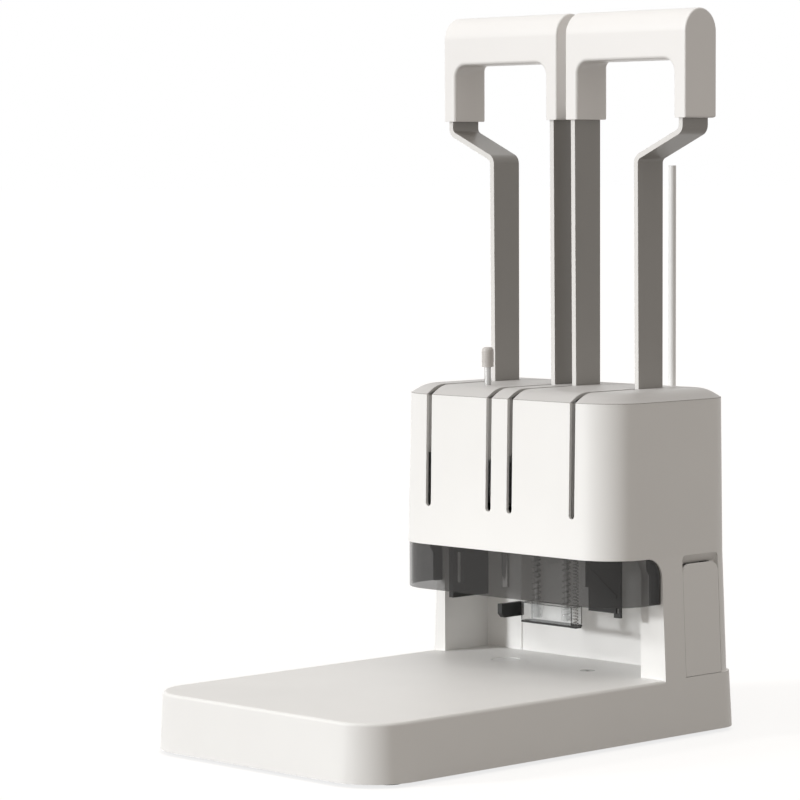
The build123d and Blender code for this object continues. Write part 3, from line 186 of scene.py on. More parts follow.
@dataclass(frozen=True)
class Finish:
    """A plain surface: one colour with slight clouding, fine grain and a matching sheen.

    Attributes:
        name: The material's name, after the real material.
        colour: sRGB hex colour of the surface.
        sheen: Roughness of the surface.
        metallic: One for bare metal, zero for paint and plastic.
        ior: Index of refraction.
        grain_mm: Width of the surface grain.
        grain_depth_mm: Depth of the grain in the bump.
        clouding: Share by which the colour drifts over the piece.
        clouding_mm: Width of that drift.
        grain_strength: How strongly the grain bends the light.
        smoothest: Share of the roughness in the grain's hollows.
        roughest: Share of the roughness on its tops.
    """

    name: str
    colour: str
    sheen: Sheen = Sheen.MOULDED
    metallic: float = 0.0
    ior: float = 1.5
    grain_mm: float = 0.9
    grain_depth_mm: float = 0.012
    clouding: float = 0.03
    clouding_mm: float = 70.0
    grain_strength: float = 0.6
    smoothest: float = 0.9
    roughest: float = 1.12

    def clouded_colour(self, tree: NodeTree, place: NodeSocket) -> NodeSocket:
        """Colour that drifts slightly over the piece.

        Args:
            tree: The material's tree.
            place: Object coordinates.

        Returns:
            The colour socket.
        """
        values = {"Scale": 1 / (self.clouding_mm * MM), "Detail": 3.0}
        drift = add_node(tree, "ShaderNodeTexNoise", {"Vector": place}, values)
        base = linear_from_hex(self.colour)[:3]
        low = (*(c * (1 - self.clouding) for c in base), 1.0)
        high = (*(min(1.0, c * (1 + self.clouding)) for c in base), 1.0)
        return mix_colours(tree, drift.outputs["Fac"], low, high)

    def grain(self, tree: NodeTree, place: NodeSocket) -> NodeSocket:
        """Height of the fine grain, from zero to one.

        Args:
            tree: The material's tree.
            place: Object coordinates.

        Returns:
            The height socket.
        """
        values = {"Scale": 1 / (self.grain_mm * MM), "Detail": 4.0, "Roughness": 0.6}
        return add_node(tree, "ShaderNodeTexNoise", {"Vector": place}, values).outputs["Fac"]

    def shader_values(self) -> dict[str, Any]:
        """Uniform values set on the shader's own sockets."""
        return {"Metallic": self.metallic, "IOR": self.ior}

    def build(self) -> Material:
        """Make the material.

        Returns:
            The finished material.
        """
        material = bpy.data.materials.new(self.name)
        tree = emptied_tree(material)
        place = add_node(tree, "ShaderNodeTexCoord").outputs["Object"]
        colour = self.clouded_colour(tree, place)
        height = self.grain(tree, place)
        low, high = (self.sheen.value * share for share in (self.smoothest, self.roughest))
        limits = {"To Min": low, "To Max": min(1.0, high)}
        rough = add_node(tree, "ShaderNodeMapRange", {"Value": height}, limits)
        depth = {"Strength": self.grain_strength, "Distance": self.grain_depth_mm * MM}
        bump = add_node(tree, "ShaderNodeBump", {"Height": height}, depth)
        links = {
            "Base Color": colour,
            "Roughness": rough.outputs["Result"],
            "Normal": bump.outputs["Normal"],
        }
        shader = add_node(tree, "ShaderNodeBsdfPrincipled", links, self.shader_values())
        add_node(tree, "ShaderNodeOutputMaterial", {"Surface": shader.outputs["BSDF"]})
        return material


@dataclass(frozen=True)
class SheetPlastic(Finish):
    """A see-through plastic, clear or smoked.

    Attributes:
        opacity: Share of the light that the sheet stops.
    """

    opacity: float = 0.6

    def shader_values(self) -> dict[str, Any]:
        """Uniform values, with the share of light stopped."""
        return {**super().shader_values(), "Alpha": self.opacity}


@dataclass(frozen=True)
class BrushedMetal(Finish):
    """Bare metal with fine lines drawn along one axis.

    Attributes:
        along: Axis of the lines, as 0, 1 or 2.
        stretch: How much longer than wide the lines are.
    """

    along: int = 2
    stretch: float = 30.0

    def grain(self, tree: NodeTree, place: NodeSocket) -> NodeSocket:
        """Height of the drawn lines, from zero to one.

        Args:
            tree: The material's tree.
            place: Object coordinates.

        Returns:
            The height socket.
        """
        scale = [1 / (self.grain_mm * MM)] * 3
        scale[self.along] /= self.stretch
        mapping = add_node(tree, "ShaderNodeMapping", {"Vector": place}, {"Scale": tuple(scale)})
        links, values = {"Vector": mapping.outputs["Vector"]}, {"Scale": 1.0, "Detail": 2.0}
        return add_node(tree, "ShaderNodeTexNoise", links, values).outputs["Fac"]


@dataclass(frozen=True)
class HighlitEdgePaint(Finish):
    """Satin paint on flat bar whose narrow edges are a lighter coat.

    Attributes:
        edge_highlight_colour: sRGB hex colour of the painted highlight on the narrow edges.
        highlight_lean: How far a face looks along X where the painted highlight ends.
        broad_lean: How far it does where the broad faces' colour starts.
    """

    edge_highlight_colour: str = "#ffffff"
    highlight_lean: float = 0.2
    broad_lean: float = 0.35

    def clouded_colour(self, tree: NodeTree, place: NodeSocket) -> NodeSocket:
        """Colour of the broad faces, and a painted highlight colour on faces that don't look along
        X.

        Args:
            tree: The material's tree.
            place: Object coordinates.

        Returns:
            The colour socket.
        """
        broad = super().clouded_colour(tree, place)
        normal = add_node(tree, "ShaderNodeNewGeometry").outputs["Normal"]
        parts = add_node(tree, "ShaderNodeSeparateXYZ", {"Vector": normal})
        facing = add_node(tree, "ShaderNodeMath", {0: parts.outputs["X"]}, operation="ABSOLUTE")
        leans = {"From Min": self.highlight_lean, "From Max": self.broad_lean}
        values = {**leans, "To Min": 1.0, "To Max": 0.0}
        share = add_node(tree, "ShaderNodeMapRange", {"Value": facing.outputs["Value"]}, values)
        # Faces that don't look along X get a painted highlight: a paler colour in place of the
        # light that the narrow edges catch
        edge = linear_from_hex(self.edge_highlight_colour)
        return mix_colours(tree, share.outputs["Result"], broad, edge)


@dataclass(frozen=True)
class Finishes:
    """Every finish of the machine, made once."""

    # ABS moulded in a lightly etched tool: a soft, even white with a dull sheen
    white_abs: Finish = Finish("white_abs_moulded", "#f0efed", Sheen.MOULDED)
    # The cap is the same plastic in a pale grey
    grey_abs: Finish = Finish("grey_abs_moulded", "#cdcbc9", Sheen.MOULDED)
    # Grips are the same ABS, polished a little by hands
    grip_abs: Finish = Finish("white_abs_grip", "#f2f0ee", Sheen.SATIN, grain_mm=1.2)
    # Smoked acrylic: glossy, grey, the tools behind it just show
    smoked_acrylic: Finish = SheetPlastic(
        "smoked_acrylic", "#302f2e", Sheen.POLISHED, ior=1.49, grain_depth_mm=0.001, opacity=0.5
    )
    # Clear polycarbonate block: bright edges, nearly invisible faces
    clear_polycarbonate: Finish = SheetPlastic(
        "clear_polycarbonate",
        "#e9ecec",
        Sheen.POLISHED,
        ior=1.58,
        grain_depth_mm=0.001,
        opacity=0.3,
    )
    # Saw-cut edge of clear plastic, dark and glossy: painted shade for the dark look the edge gets
    # as light runs out through it
    plastic_edge_shade: Finish = Finish("clear_edge_painted_shade", "#3d3c3b", Sheen.POLISHED, ior=1.58)
    # Satin paint over flat steel bar: grey on the broad faces, with a painted highlight that makes
    # the narrow edges pale
    arm_paint_and_highlight: Finish = HighlitEdgePaint(
        "painted_steel_arm_edge_highlight", "#9a9793", Sheen.SATIN, grain_mm=1.6, edge_highlight_colour="#e4e2df"
    )
    # Ground steel: fine lines along its length that stretch the reflections
    ground_steel: Finish = BrushedMetal(
        "ground_steel", "#b9b8b6", Sheen.SATIN, metallic=1.0, grain_mm=0.5, grain_depth_mm=0.006
    )
    # Drawn spring wire, bright with a trace of oil
    spring_wire: Finish = Finish(
        "drawn_spring_wire", "#b9b7b5", Sheen.POLISHED, metallic=1.0, grain_mm=0.4
    )
    # Steel blackened by oxide: dark, slightly glossy
    black_oxide: Finish = Finish("black_oxide_steel", "#131211", Sheen.SATIN, grain_mm=0.6)
    # Milled aluminium: paler than steel, with the cutter's lines across
    milled_aluminium: Finish = BrushedMetal(
        "milled_aluminium", "#c8c8c9", Sheen.SATIN, metallic=1.0, grain_mm=0.7, along=0
    )
    # Moulded nylon: deep black with a satin shine
    black_nylon: Finish = Finish("black_nylon_moulded", "#101010", Sheen.SATIN, grain_mm=0.7)
    # Extruded nylon tube: milky and slightly see-through
    white_nylon: Finish = Finish(
        "white_nylon_tube", "#f3f3f2", Sheen.SATIN, ior=1.53, grain_depth_mm=0.004
    )
    # Turned acetal: warm grey and smooth to the finger
    grey_acetal: Finish = Finish("grey_acetal_turned", "#c9c5c1", Sheen.SATIN, grain_mm=0.5)
    # Rubber: dull black with a coarse grain
    soft_rubber: Finish = Finish(
        "black_rubber_foot", "#171717", Sheen.DULL, grain_mm=0.8, grain_depth_mm=0.03
    )
    # Joint between two mouldings: the shade in a narrow gap
    joint_shadow: Finish = Finish("abs_joint_shadow", "#8d8984", Sheen.DULL, grain_mm=0.5)
    # Glass fibre board under green lacquer
    glass_fibre_board: Finish = Finish("glass_fibre_board", "#14532f", Sheen.SATIN, grain_mm=0.5)


@dataclass
class Shop:
    """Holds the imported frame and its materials, and turns CAD nodes into dressed pieces.

    Attributes:
        frame: What the frame holds.
        finishes: Every finish.
        materials: Material of each finish made so far.
        node_body: Body that each CAD node belongs to.
        node_slot: Material slot of each CAD node.
        merge_mm: Vertices closer than this become one.
        flat_degrees: Faces that meet at less than this become one.
        sharp_degrees: Edges sharper than this are rounded and stay crisp.
        edge_segments: Facets across each rounded edge.
    """

    frame: dict[str, Any]
    finishes: Finishes = field(default_factory=Finishes)
    materials: dict[str, Material] = field(default_factory=dict)
    node_body: dict[str, str] = field(default_factory=dict)
    node_slot: dict[str, str] = field(default_factory=dict)
    merge_mm: float = 0.002
    flat_degrees: float = 0.4
    sharp_degrees: float = 32.0
    edge_segments: int = 3

    def __post_init__(self) -> None:
        """Look up which body and slot each node belongs to."""
        for body, members in self.frame["record"]["behaviour"]["bodies"].items():
            for node in members:
                self.node_body[node] = body
        for row in self.frame["record"]["subparts"]:
            self.node_slot[row["node"]] = row["material_slot"]

    def material(self, finish: Finish) -> Material:
        """The material of a finish, made on first use.

        Args:
            finish: The finish.

        Returns:
            Its material.
        """
        if finish.name not in self.materials:
            self.materials[finish.name] = finish.build()
        return self.materials[finish.name]

    def paint(self, node: str, finish: Finish) -> None:
        """Give a CAD node that stays as it is a finish.

        Args:
            node: The CAD node.
            finish: Its finish.
        """
        mesh = self.frame["nodes"][node].data
        mesh.materials.clear()
        mesh.materials.append(self.material(finish))
        LOG.info("painted %s", node)

    def seat(self, piece: Object, node: str, stands_for: bool = False) -> Object:
        """Put a finished piece on the body of a CAD node.

        Args:
            piece: The finished piece.
            node: The CAD node it belongs with.
            stands_for: Whether the piece replaces the node.

        Returns:
            The piece.
        """
        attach(piece, self.node_body[node])
        if stands_for:
            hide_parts(node)
        LOG.info("placed %s on %s", piece.name, self.node_body[node])
        return piece

    def apply_modifiers(self, piece: Object) -> None:
        """Turn what the modifiers of a piece make into its plain mesh.

        Args:
            piece: The piece, which loses its modifiers.
        """
        graph = bpy.context.evaluated_depsgraph_get()
        baked = bpy.data.meshes.new_from_object(piece.evaluated_get(graph))
        baked.name = piece.name
        piece.modifiers.clear()
        piece.data = baked

    def piece_from(self, work: BMesh, name: str, finish: Finish) -> Object:
        """Turn a mesh being built into a finished object.

        Args:
            work: The mesh being built; it is freed.
            name: Name of the piece.
            finish: Its finish.

        Returns:
            The piece.
        """
        bmesh.ops.recalc_face_normals(work, faces=work.faces)
        mesh = bpy.data.meshes.new(name)
        work.to_mesh(mesh)
        work.free()
        mesh.materials.append(self.material(finish))
        return put_in_scene(name, mesh)

    def soften(
        self,
        node: str,
        name: str,
        finish: Finish,
        edge_mm: float,
        reshape: Callable[[BMesh], None] | None = None,
    ) -> Object:
        """Rebuild a CAD node as a clean mesh with rounded edges that catch the light.

        Args:
            node: The CAD node to stand for.
            name: Name of the new piece.
            finish: Its finish.
            edge_mm: Radius of the rounded edges, or zero for none.
            reshape: Changes the clean mesh before its edges are rounded.

        Returns:
            The new piece, riding on the node's body.
        """
        mesh = self.frame["nodes"][node].data.copy()
        mesh.name = name
        mesh.materials.clear()
        mesh.materials.append(self.material(finish))
        work = bmesh.new()
        work.from_mesh(mesh)
        bmesh.ops.remove_doubles(work, verts=work.verts, dist=self.merge_mm * MM)
        flat = math.radians(self.flat_degrees)
        bmesh.ops.dissolve_limit(work, angle_limit=flat, verts=work.verts, edges=work.edges)
        if reshape:
            reshape(work)
        work.to_mesh(mesh)
        work.free()
        mesh.shade_smooth()
        for face in mesh.polygons:
            face.material_index = 0
        piece = put_in_scene(name, mesh)
        sharp = math.radians(self.sharp_degrees)
        if edge_mm > 0:
            bevel = piece.modifiers.new("rounded_edges", "BEVEL")
            bevel.width = edge_mm * MM
            bevel.segments = self.edge_segments
            bevel.limit_method = "ANGLE"
            bevel.angle_limit = sharp
            bevel.harden_normals = True
            bevel.use_clamp_overlap = True
            bevel.miter_outer = "MITER_ARC"
            self.apply_modifiers(piece)
        piece.data.set_sharp_from_angle(angle=sharp)
        shading = piece.modifiers.new("even_shading", "WEIGHTED_NORMAL")
        shading.keep_sharp = True
        self.apply_modifiers(piece)
        return self.seat(piece, node, stands_for=True)


def ring_points(
    centre: Pair, radius: float, start: float, reach: float, steps: int
) -> list[Pair]:
    """Points along an arc in the XY plane, both ends included.

    Args:
        centre: X and Y of its middle.
        radius: Its radius.
        start: Where it starts, in degrees from X.
        reach: How many degrees it spans.
        steps: Into how many runs it is cut.

    Returns:
        The points, in the unit of the radius.
    """
    across, along = centre
    turns = [math.radians(start + reach * step / steps) for step in range(steps + 1)]
    return [(across + radius * math.cos(turn), along + radius * math.sin(turn)) for turn in turns]


def rounded_outline(
    half_width: float, span: Pair, radii: Pair, corner_steps: int = 12
) -> list[Pair]:
    """Closed outline of a block with rounded corners, seen from above.

    Args:
        half_width: Half its width along X.
        span: Y of its front and rear.
        radii: Radius of its front and rear corners.
        corner_steps: Into how many runs each corner is cut.

    Returns:
        Points in millimetres, with the first one repeated at the end.
    """
    near, far = radii
    ahead, behind = span[0] + near, span[1] - far
    corners = (
        ((half_width - near, ahead), near, -90),
        ((half_width - far, behind), far, 0),
        ((far - half_width, behind), far, 90),
        ((near - half_width, ahead), near, 180),
    )
    points = []
    for centre, radius, start in corners:
        points += ring_points(centre, radius, start, 90, corner_steps)
    return [*points, points[0]]


def add_block(work: BMesh, *spans: Pair, edge_share: float = 0.12) -> None:
    """Add a box with slightly bevelled edges to a mesh being built.

    Args:
        work: The mesh being built.
        *spans: Its two places along X, along Y and along Z, in millimetres.
        edge_share: Width of its bevel as a share of its smallest size.
    """
    sizes = [abs(high - low) * MM for low, high in spans]
    middle = [(low + high) / 2 * MM for low, high in spans]
    place = Matrix.Translation(Vector(middle)) @ Matrix.Diagonal((*sizes, 1.0))
    made = bmesh.ops.create_cube(work, size=1.0, matrix=place)
    edges = list(dict.fromkeys(edge for vertex in made["verts"] for edge in vertex.link_edges))
    width = min(sizes) * edge_share
    bmesh.ops.bevel(work, geom=edges, offset=width, segments=2, affect="EDGES")


@dataclass
class Repeats:
    """A Geometry Nodes tree built here, run on points and baked into one plain mesh.

    Attributes:
        shop: The shop that holds the materials.
        weld_mm: Vertices closer than this become one.
        crisp_degrees: Edges sharper than this stay crisp.
    """

    shop: Shop
    weld_mm: float = 0.001
    crisp_degrees: float = 35.0

    def open_tree(self, name: str, sizes: dict[str, str]) -> tuple[NodeTree, Node]:
        """Start a tree with its named inputs.

        Args:
            name: Name of the tree.
            sizes: Input name to its socket type.

        Returns:
            The tree and its input node.
        """
        tree = bpy.data.node_groups.new(name, "GeometryNodeTree")
        sockets = {"Spots": "NodeSocketGeometry", **sizes, "Finish": "NodeSocketMaterial"}
        for label, kind in sockets.items():
            tree.interface.new_socket(label, in_out="INPUT", socket_type=kind)
        tree.interface.new_socket("Pieces", in_out="OUTPUT", socket_type="NodeSocketGeometry")
        return tree, add_node(tree, "NodeGroupInput")

    def close_tree(self, tree: NodeTree, entry: Node, made: NodeSocket) -> None:
        """End a tree with real geometry in its finish.

        Args:
            tree: The tree.
            entry: Its input node.
            made: The geometry made so far.
        """
        real = add_node(tree, "GeometryNodeRealizeInstances", {"Geometry": made})
        links = {"Geometry": real.outputs[0], "Material": entry.outputs["Finish"]}
        dressed = add_node(tree, "GeometryNodeSetMaterial", links)
        add_node(tree, "NodeGroupOutput", {0: dressed.outputs[0]})

    def bake(
        self,
        tree: NodeTree,
        name: str,
        spots: list[Point],
        edges: list[tuple[int, int]],
        values: dict[str, Any],
    ) -> Object:
        """Run a tree on points and keep the result as a plain mesh.

        Args:
            tree: The tree.
            name: Name of the piece.
            spots: Points in millimetres.
            edges: Pairs of points that are joined.
            values: Input name to its value.

        Returns:
            The piece, with no modifier left.
        """
        start = bpy.data.meshes.new(f"{name}_spots")
        start.from_pydata([Vector(spot) * MM for spot in spots], edges, [])
        piece = put_in_scene(name, start)
        modifier = piece.modifiers.new("repeats", "NODES")
        modifier.node_group = tree
        for item in tree.interface.items_tree:
            if item.name in values:
                modifier[item.identifier] = values[item.name]
        self.shop.apply_modifiers(piece)
        baked = piece.data
        work = bmesh.new()
        work.from_mesh(baked)
        bmesh.ops.remove_doubles(work, verts=work.verts, dist=self.weld_mm * MM)
        bmesh.ops.recalc_face_normals(work, faces=work.faces)
        work.to_mesh(baked)
        work.free()
        baked.shade_smooth()
        baked.set_sharp_from_angle(angle=math.radians(self.crisp_degrees))
        return piece


@dataclass
class ScrewHeads(Repeats):
    """Chamfered screw heads with a round socket, one at each spot.

    Attributes:
        head_radius: Radius of the head in millimetres.
        head_height: Height of its straight part in millimetres.
        chamfer_share: Height of the chamfer as a share of the head's.
        rim_share: Radius at the chamfer's top as a share of the head's.
        socket_share: Radius of the socket as a share of that one.
        socket_depth: Depth of the socket as a share of the head's height.
        turn: Turn about X, Y and Z, which makes the heads look to the rear.
        sides: Sides of the head.
    """

    head_radius: float = 3.0
    head_height: float = 1.6
    chamfer_share: float = 0.25
    rim_share: float = 0.86
    socket_share: float = 0.52
    socket_depth: float = 0.6
    turn: Point = (-math.pi / 2, 0.0, 0.0)
    sides: int = 24

    def build_tree(self) -> NodeTree:
        """Make the tree: a cylinder, drawn in at the top, with a sunk socket.

        Returns:
            The tree.
        """
        sizes = {
            "Head Radius": "NodeSocketFloat",
            "Head Height": "NodeSocketFloat",
            "Turn": "NodeSocketVector",
        }
        tree, entry = self.open_tree("screw_heads", sizes)
        height = entry.outputs["Head Height"]
        links = {"Radius": entry.outputs["Head Radius"], "Depth": height}
        head = add_node(tree, "GeometryNodeMeshCylinder", links, {"Vertices": self.sides})
        mesh, lid = head.outputs["Mesh"], head.outputs["Top"]
        steps = (
            (self.chamfer_share, self.rim_share),
            (0.0, self.socket_share),
            (-self.socket_depth, 1.0),
        )
        for rise, share in steps:
            lift = add_node(tree, "ShaderNodeMath", {0: height}, {1: rise}, operation="MULTIPLY")
            step = add_node(
                tree,
                "GeometryNodeExtrudeMesh",
                {"Mesh": mesh, "Selection": lid, "Offset Scale": lift.outputs[0]},
                {"Individual": False},
                mode="FACES",
            )
            drawn = add_node(
                tree,
                "GeometryNodeScaleElements",
                {"Geometry": step.outputs["Mesh"], "Selection": step.outputs["Top"]},
                {"Scale": share},
                domain="FACE",
            )
            mesh, lid = drawn.outputs["Geometry"], step.outputs["Top"]
        spots, turn = entry.outputs["Spots"], entry.outputs["Turn"]
        links = {"Points": spots, "Instance": mesh, "Rotation": turn}
        placed = add_node(tree, "GeometryNodeInstanceOnPoints", links)
        self.close_tree(tree, entry, placed.outputs["Instances"])
        return tree

    def make(self, name: str, spots: list[Point]) -> Object:
        """Make the heads at their spots.

        Args:
            name: Name of the piece.
            spots: Centres of the heads in millimetres.

        Returns:
            The baked piece.
        """
        values = {
            "Head Radius": self.head_radius * MM,
            "Head Height": self.head_height * MM,
            "Turn": list(self.turn),
            "Finish": self.shop.material(self.shop.finishes.ground_steel),
        }
        return self.bake(self.build_tree(), name, spots, [], values)


@dataclass
class Beads(Repeats):
    """Round beads that follow a path, for seams, ribs and edges.

    Attributes:
        bead_radius: Radius of the bead in millimetres.
        sides: Sides of its profile.
    """

    bead_radius: float = 0.3
    sides: int = 10

    def build_tree(self) -> NodeTree:
        """Make the tree: the path as a curve, swept with a round profile.

        Returns:
            The tree.
        """
        tree, entry = self.open_tree("beads", {"Bead Radius": "NodeSocketFloat"})
        path = add_node(tree, "GeometryNodeMeshToCurve", {"Mesh": entry.outputs["Spots"]})
        profile = add_node(
            tree,
            "GeometryNodeCurvePrimitiveCircle",
            {"Radius": entry.outputs["Bead Radius"]},
            {"Resolution": self.sides},
        )
        links = {"Curve": path.outputs["Curve"], "Profile Curve": profile.outputs["Curve"]}
        swept = add_node(tree, "GeometryNodeCurveToMesh", links, {"Fill Caps": True})
        self.close_tree(tree, entry, swept.outputs["Mesh"])
        return tree

    def make(self, name: str, paths: list[list[Point]], finish: Finish) -> Object:
        """Make a bead along each path.

        Args:
            name: Name of the piece.
            paths: Open lines of points in millimetres; a line whose ends meet is a ring.
            finish: Their finish.

        Returns:
            The baked piece.
        """
        spots, edges = [], []
        for path in paths:
            first = len(spots)
            closed = path[0] == path[-1]
            spots += path[:-1] if closed else path
            edges += [(place, place + 1) for place in range(first, len(spots) - 1)]
            if closed:
                edges.append((len(spots) - 1, first))
        values = {"Bead Radius": self.bead_radius * MM, "Finish": self.shop.material(finish)}
        return self.bake(self.build_tree(), name, spots, edges, values)


@dataclass
class Casings:
    """The white casings, the cap, the base and the covers.

    Attributes:
        seam_span: Y of the joint's front and rear.
        seam_radii: Radius of its front and rear corners.
        liners: X of each arm slot, how far its lining reaches back and how low it starts.
        cover_screw_size: Radius and height of the cover's screw heads.
    """

    shop: Shop
    shell_edge_mm: float = 0.7
    small_edge_mm: float = 0.35
    seam_height: float = 248.3
    seam_bead: float = 0.16
    seam_half_width: float = 114.2
    seam_span: Pair = (56.2, 190.0)
    seam_radii: Pair = (35.0, 25.0)
    slot_half: float = 2.75
    liners: tuple[Point, ...] = (
        (-74.1, 18.0, 204.0),
        (-10.9, 18.0, 202.0),
        (10.9, 3.0, 206.0),
        (74.1, 3.5, 164.0),
    )
    liner_thickness: float = 1.2
    liner_gap: float = 0.15
    liner_front: float = 58.6
    liner_top: float = 247.6
    cover_face: float = 190.0
    cover_screws_x: tuple[float, ...] = (-74.0, 74.0)
    cover_screws_z: tuple[float, ...] = (64.0, 226.0)
    cover_screw_size: Pair = (3.2, 1.4)
    grille_bead: float = 1.1
    grille_sides: int = 16
    grille_half: float = 42.0
    grille_low: float = 150.0
    grille_pitch: float = 6.0
    grille_rows: int = 9
    blade_spots: tuple[Pair, ...] = ((-57.0, 82.2), (-50.0, 86.2), (-43.0, 82.2))
    blade_half: Pair = (1.0, 2.0)
    blade_reach: Pair = (176.6, 190.0)

    def build(self) -> None:
        """Dress every casing."""
        finishes = self.shop.finishes
        broad, narrow = self.shell_edge_mm, self.small_edge_mm
        rows = (
            ("base_shell", "base_casing", finishes.white_abs, broad),
            ("housing_shell", "column_casing", finishes.white_abs, broad),
            ("top_cap", "cap_casing", finishes.grey_abs, narrow),
            ("rear_cover", "rear_panel", finishes.white_abs, narrow),
            ("chip_bin", "chip_drawer", finishes.white_abs, narrow),
            ("base_plate", "base_floor", finishes.black_oxide, narrow),
        )
        for row in rows:
            self.shop.soften(*row)
        self.shop.paint("rubber_feet", finishes.soft_rubber)
        self.shop.paint("case_screws", finishes.ground_steel)
        self.add_cap_seam()
        self.add_slot_liners()
        self.add_rear_details()
        self.add_inlet_blades()

    def add_slot_liners(self) -> None:
        """Line both sides of each arm slot behind the head's front wall."""
        work = bmesh.new()
        for column, depth, low in self.liners:
            for side in (-1, 1):
                inner = column + side * (self.slot_half + self.liner_gap)
                outer = inner + side * self.liner_thickness
                reach = (self.liner_front, self.liner_front + depth)
                add_block(work, (inner, outer), reach, (low, self.liner_top))
        piece = self.shop.piece_from(work, "slot_liners", self.shop.finishes.grey_abs)
        self.shop.seat(piece, "housing_shell")

    def add_cap_seam(self) -> None:
        """Draw the shaded joint between head and cap, broken where the arm slots cross it.

        The outline starts and ends on the front, so its last run is cut at both sides of every
        slot, and every second piece is the bridge over a slot.
        """
        outline = rounded_outline(self.seam_half_width, self.seam_span, self.seam_radii)
        front, height = self.seam_span[0], self.seam_height
        runs = [[(x, y, height) for x, y in outline[:-1]]]
        for cut in sorted(x + sign * self.slot_half for x, *_ in self.liners for sign in (-1, 1)):
            runs[-1].append((cut, front, height))
            runs.append([(cut, front, height)])
        runs[-1].append((*outline[-1], height))
        joint = Beads(self.shop, bead_radius=self.seam_bead)
        piece = joint.make("cap_joint", runs[::2], self.shop.finishes.joint_shadow)
        self.shop.seat(piece, "top_cap")

    def add_rear_details(self) -> None:
        """Add the rear cover's screws and the ribs of its air grille."""
        spots = [(x, self.cover_face, z) for x in self.cover_screws_x for z in self.cover_screws_z]
        radius, height = self.cover_screw_size
        screws = ScrewHeads(self.shop, head_radius=radius, head_height=height)
        piece = screws.make("rear_panel_screws", spots)
        self.shop.seat(piece, "rear_cover")
        half, face = self.grille_half, self.cover_face
        heights = [self.grille_low + row * self.grille_pitch for row in range(self.grille_rows)]
        ribs = [[(-half, face, height), (half, face, height)] for height in heights]
        grille = Beads(self.shop, bead_radius=self.grille_bead, sides=self.grille_sides)
        piece = grille.make("rear_grille", ribs, self.shop.finishes.white_abs)
        self.shop.seat(piece, "rear_cover")

    def add_inlet_blades(self) -> None:
        """Set the three contact blades into the power inlet's socket."""
        half_width, half_height = self.blade_half
        work = bmesh.new()
        for across, height in self.blade_spots:
            span_x = (across - half_width, across + half_width)
            span_z = (height - half_height, height + half_height)
            add_block(work, span_x, self.blade_reach, span_z)
        piece = self.shop.piece_from(work, "inlet_blades", self.shop.finishes.ground_steel)
        self.shop.seat(piece, "power_inlet")


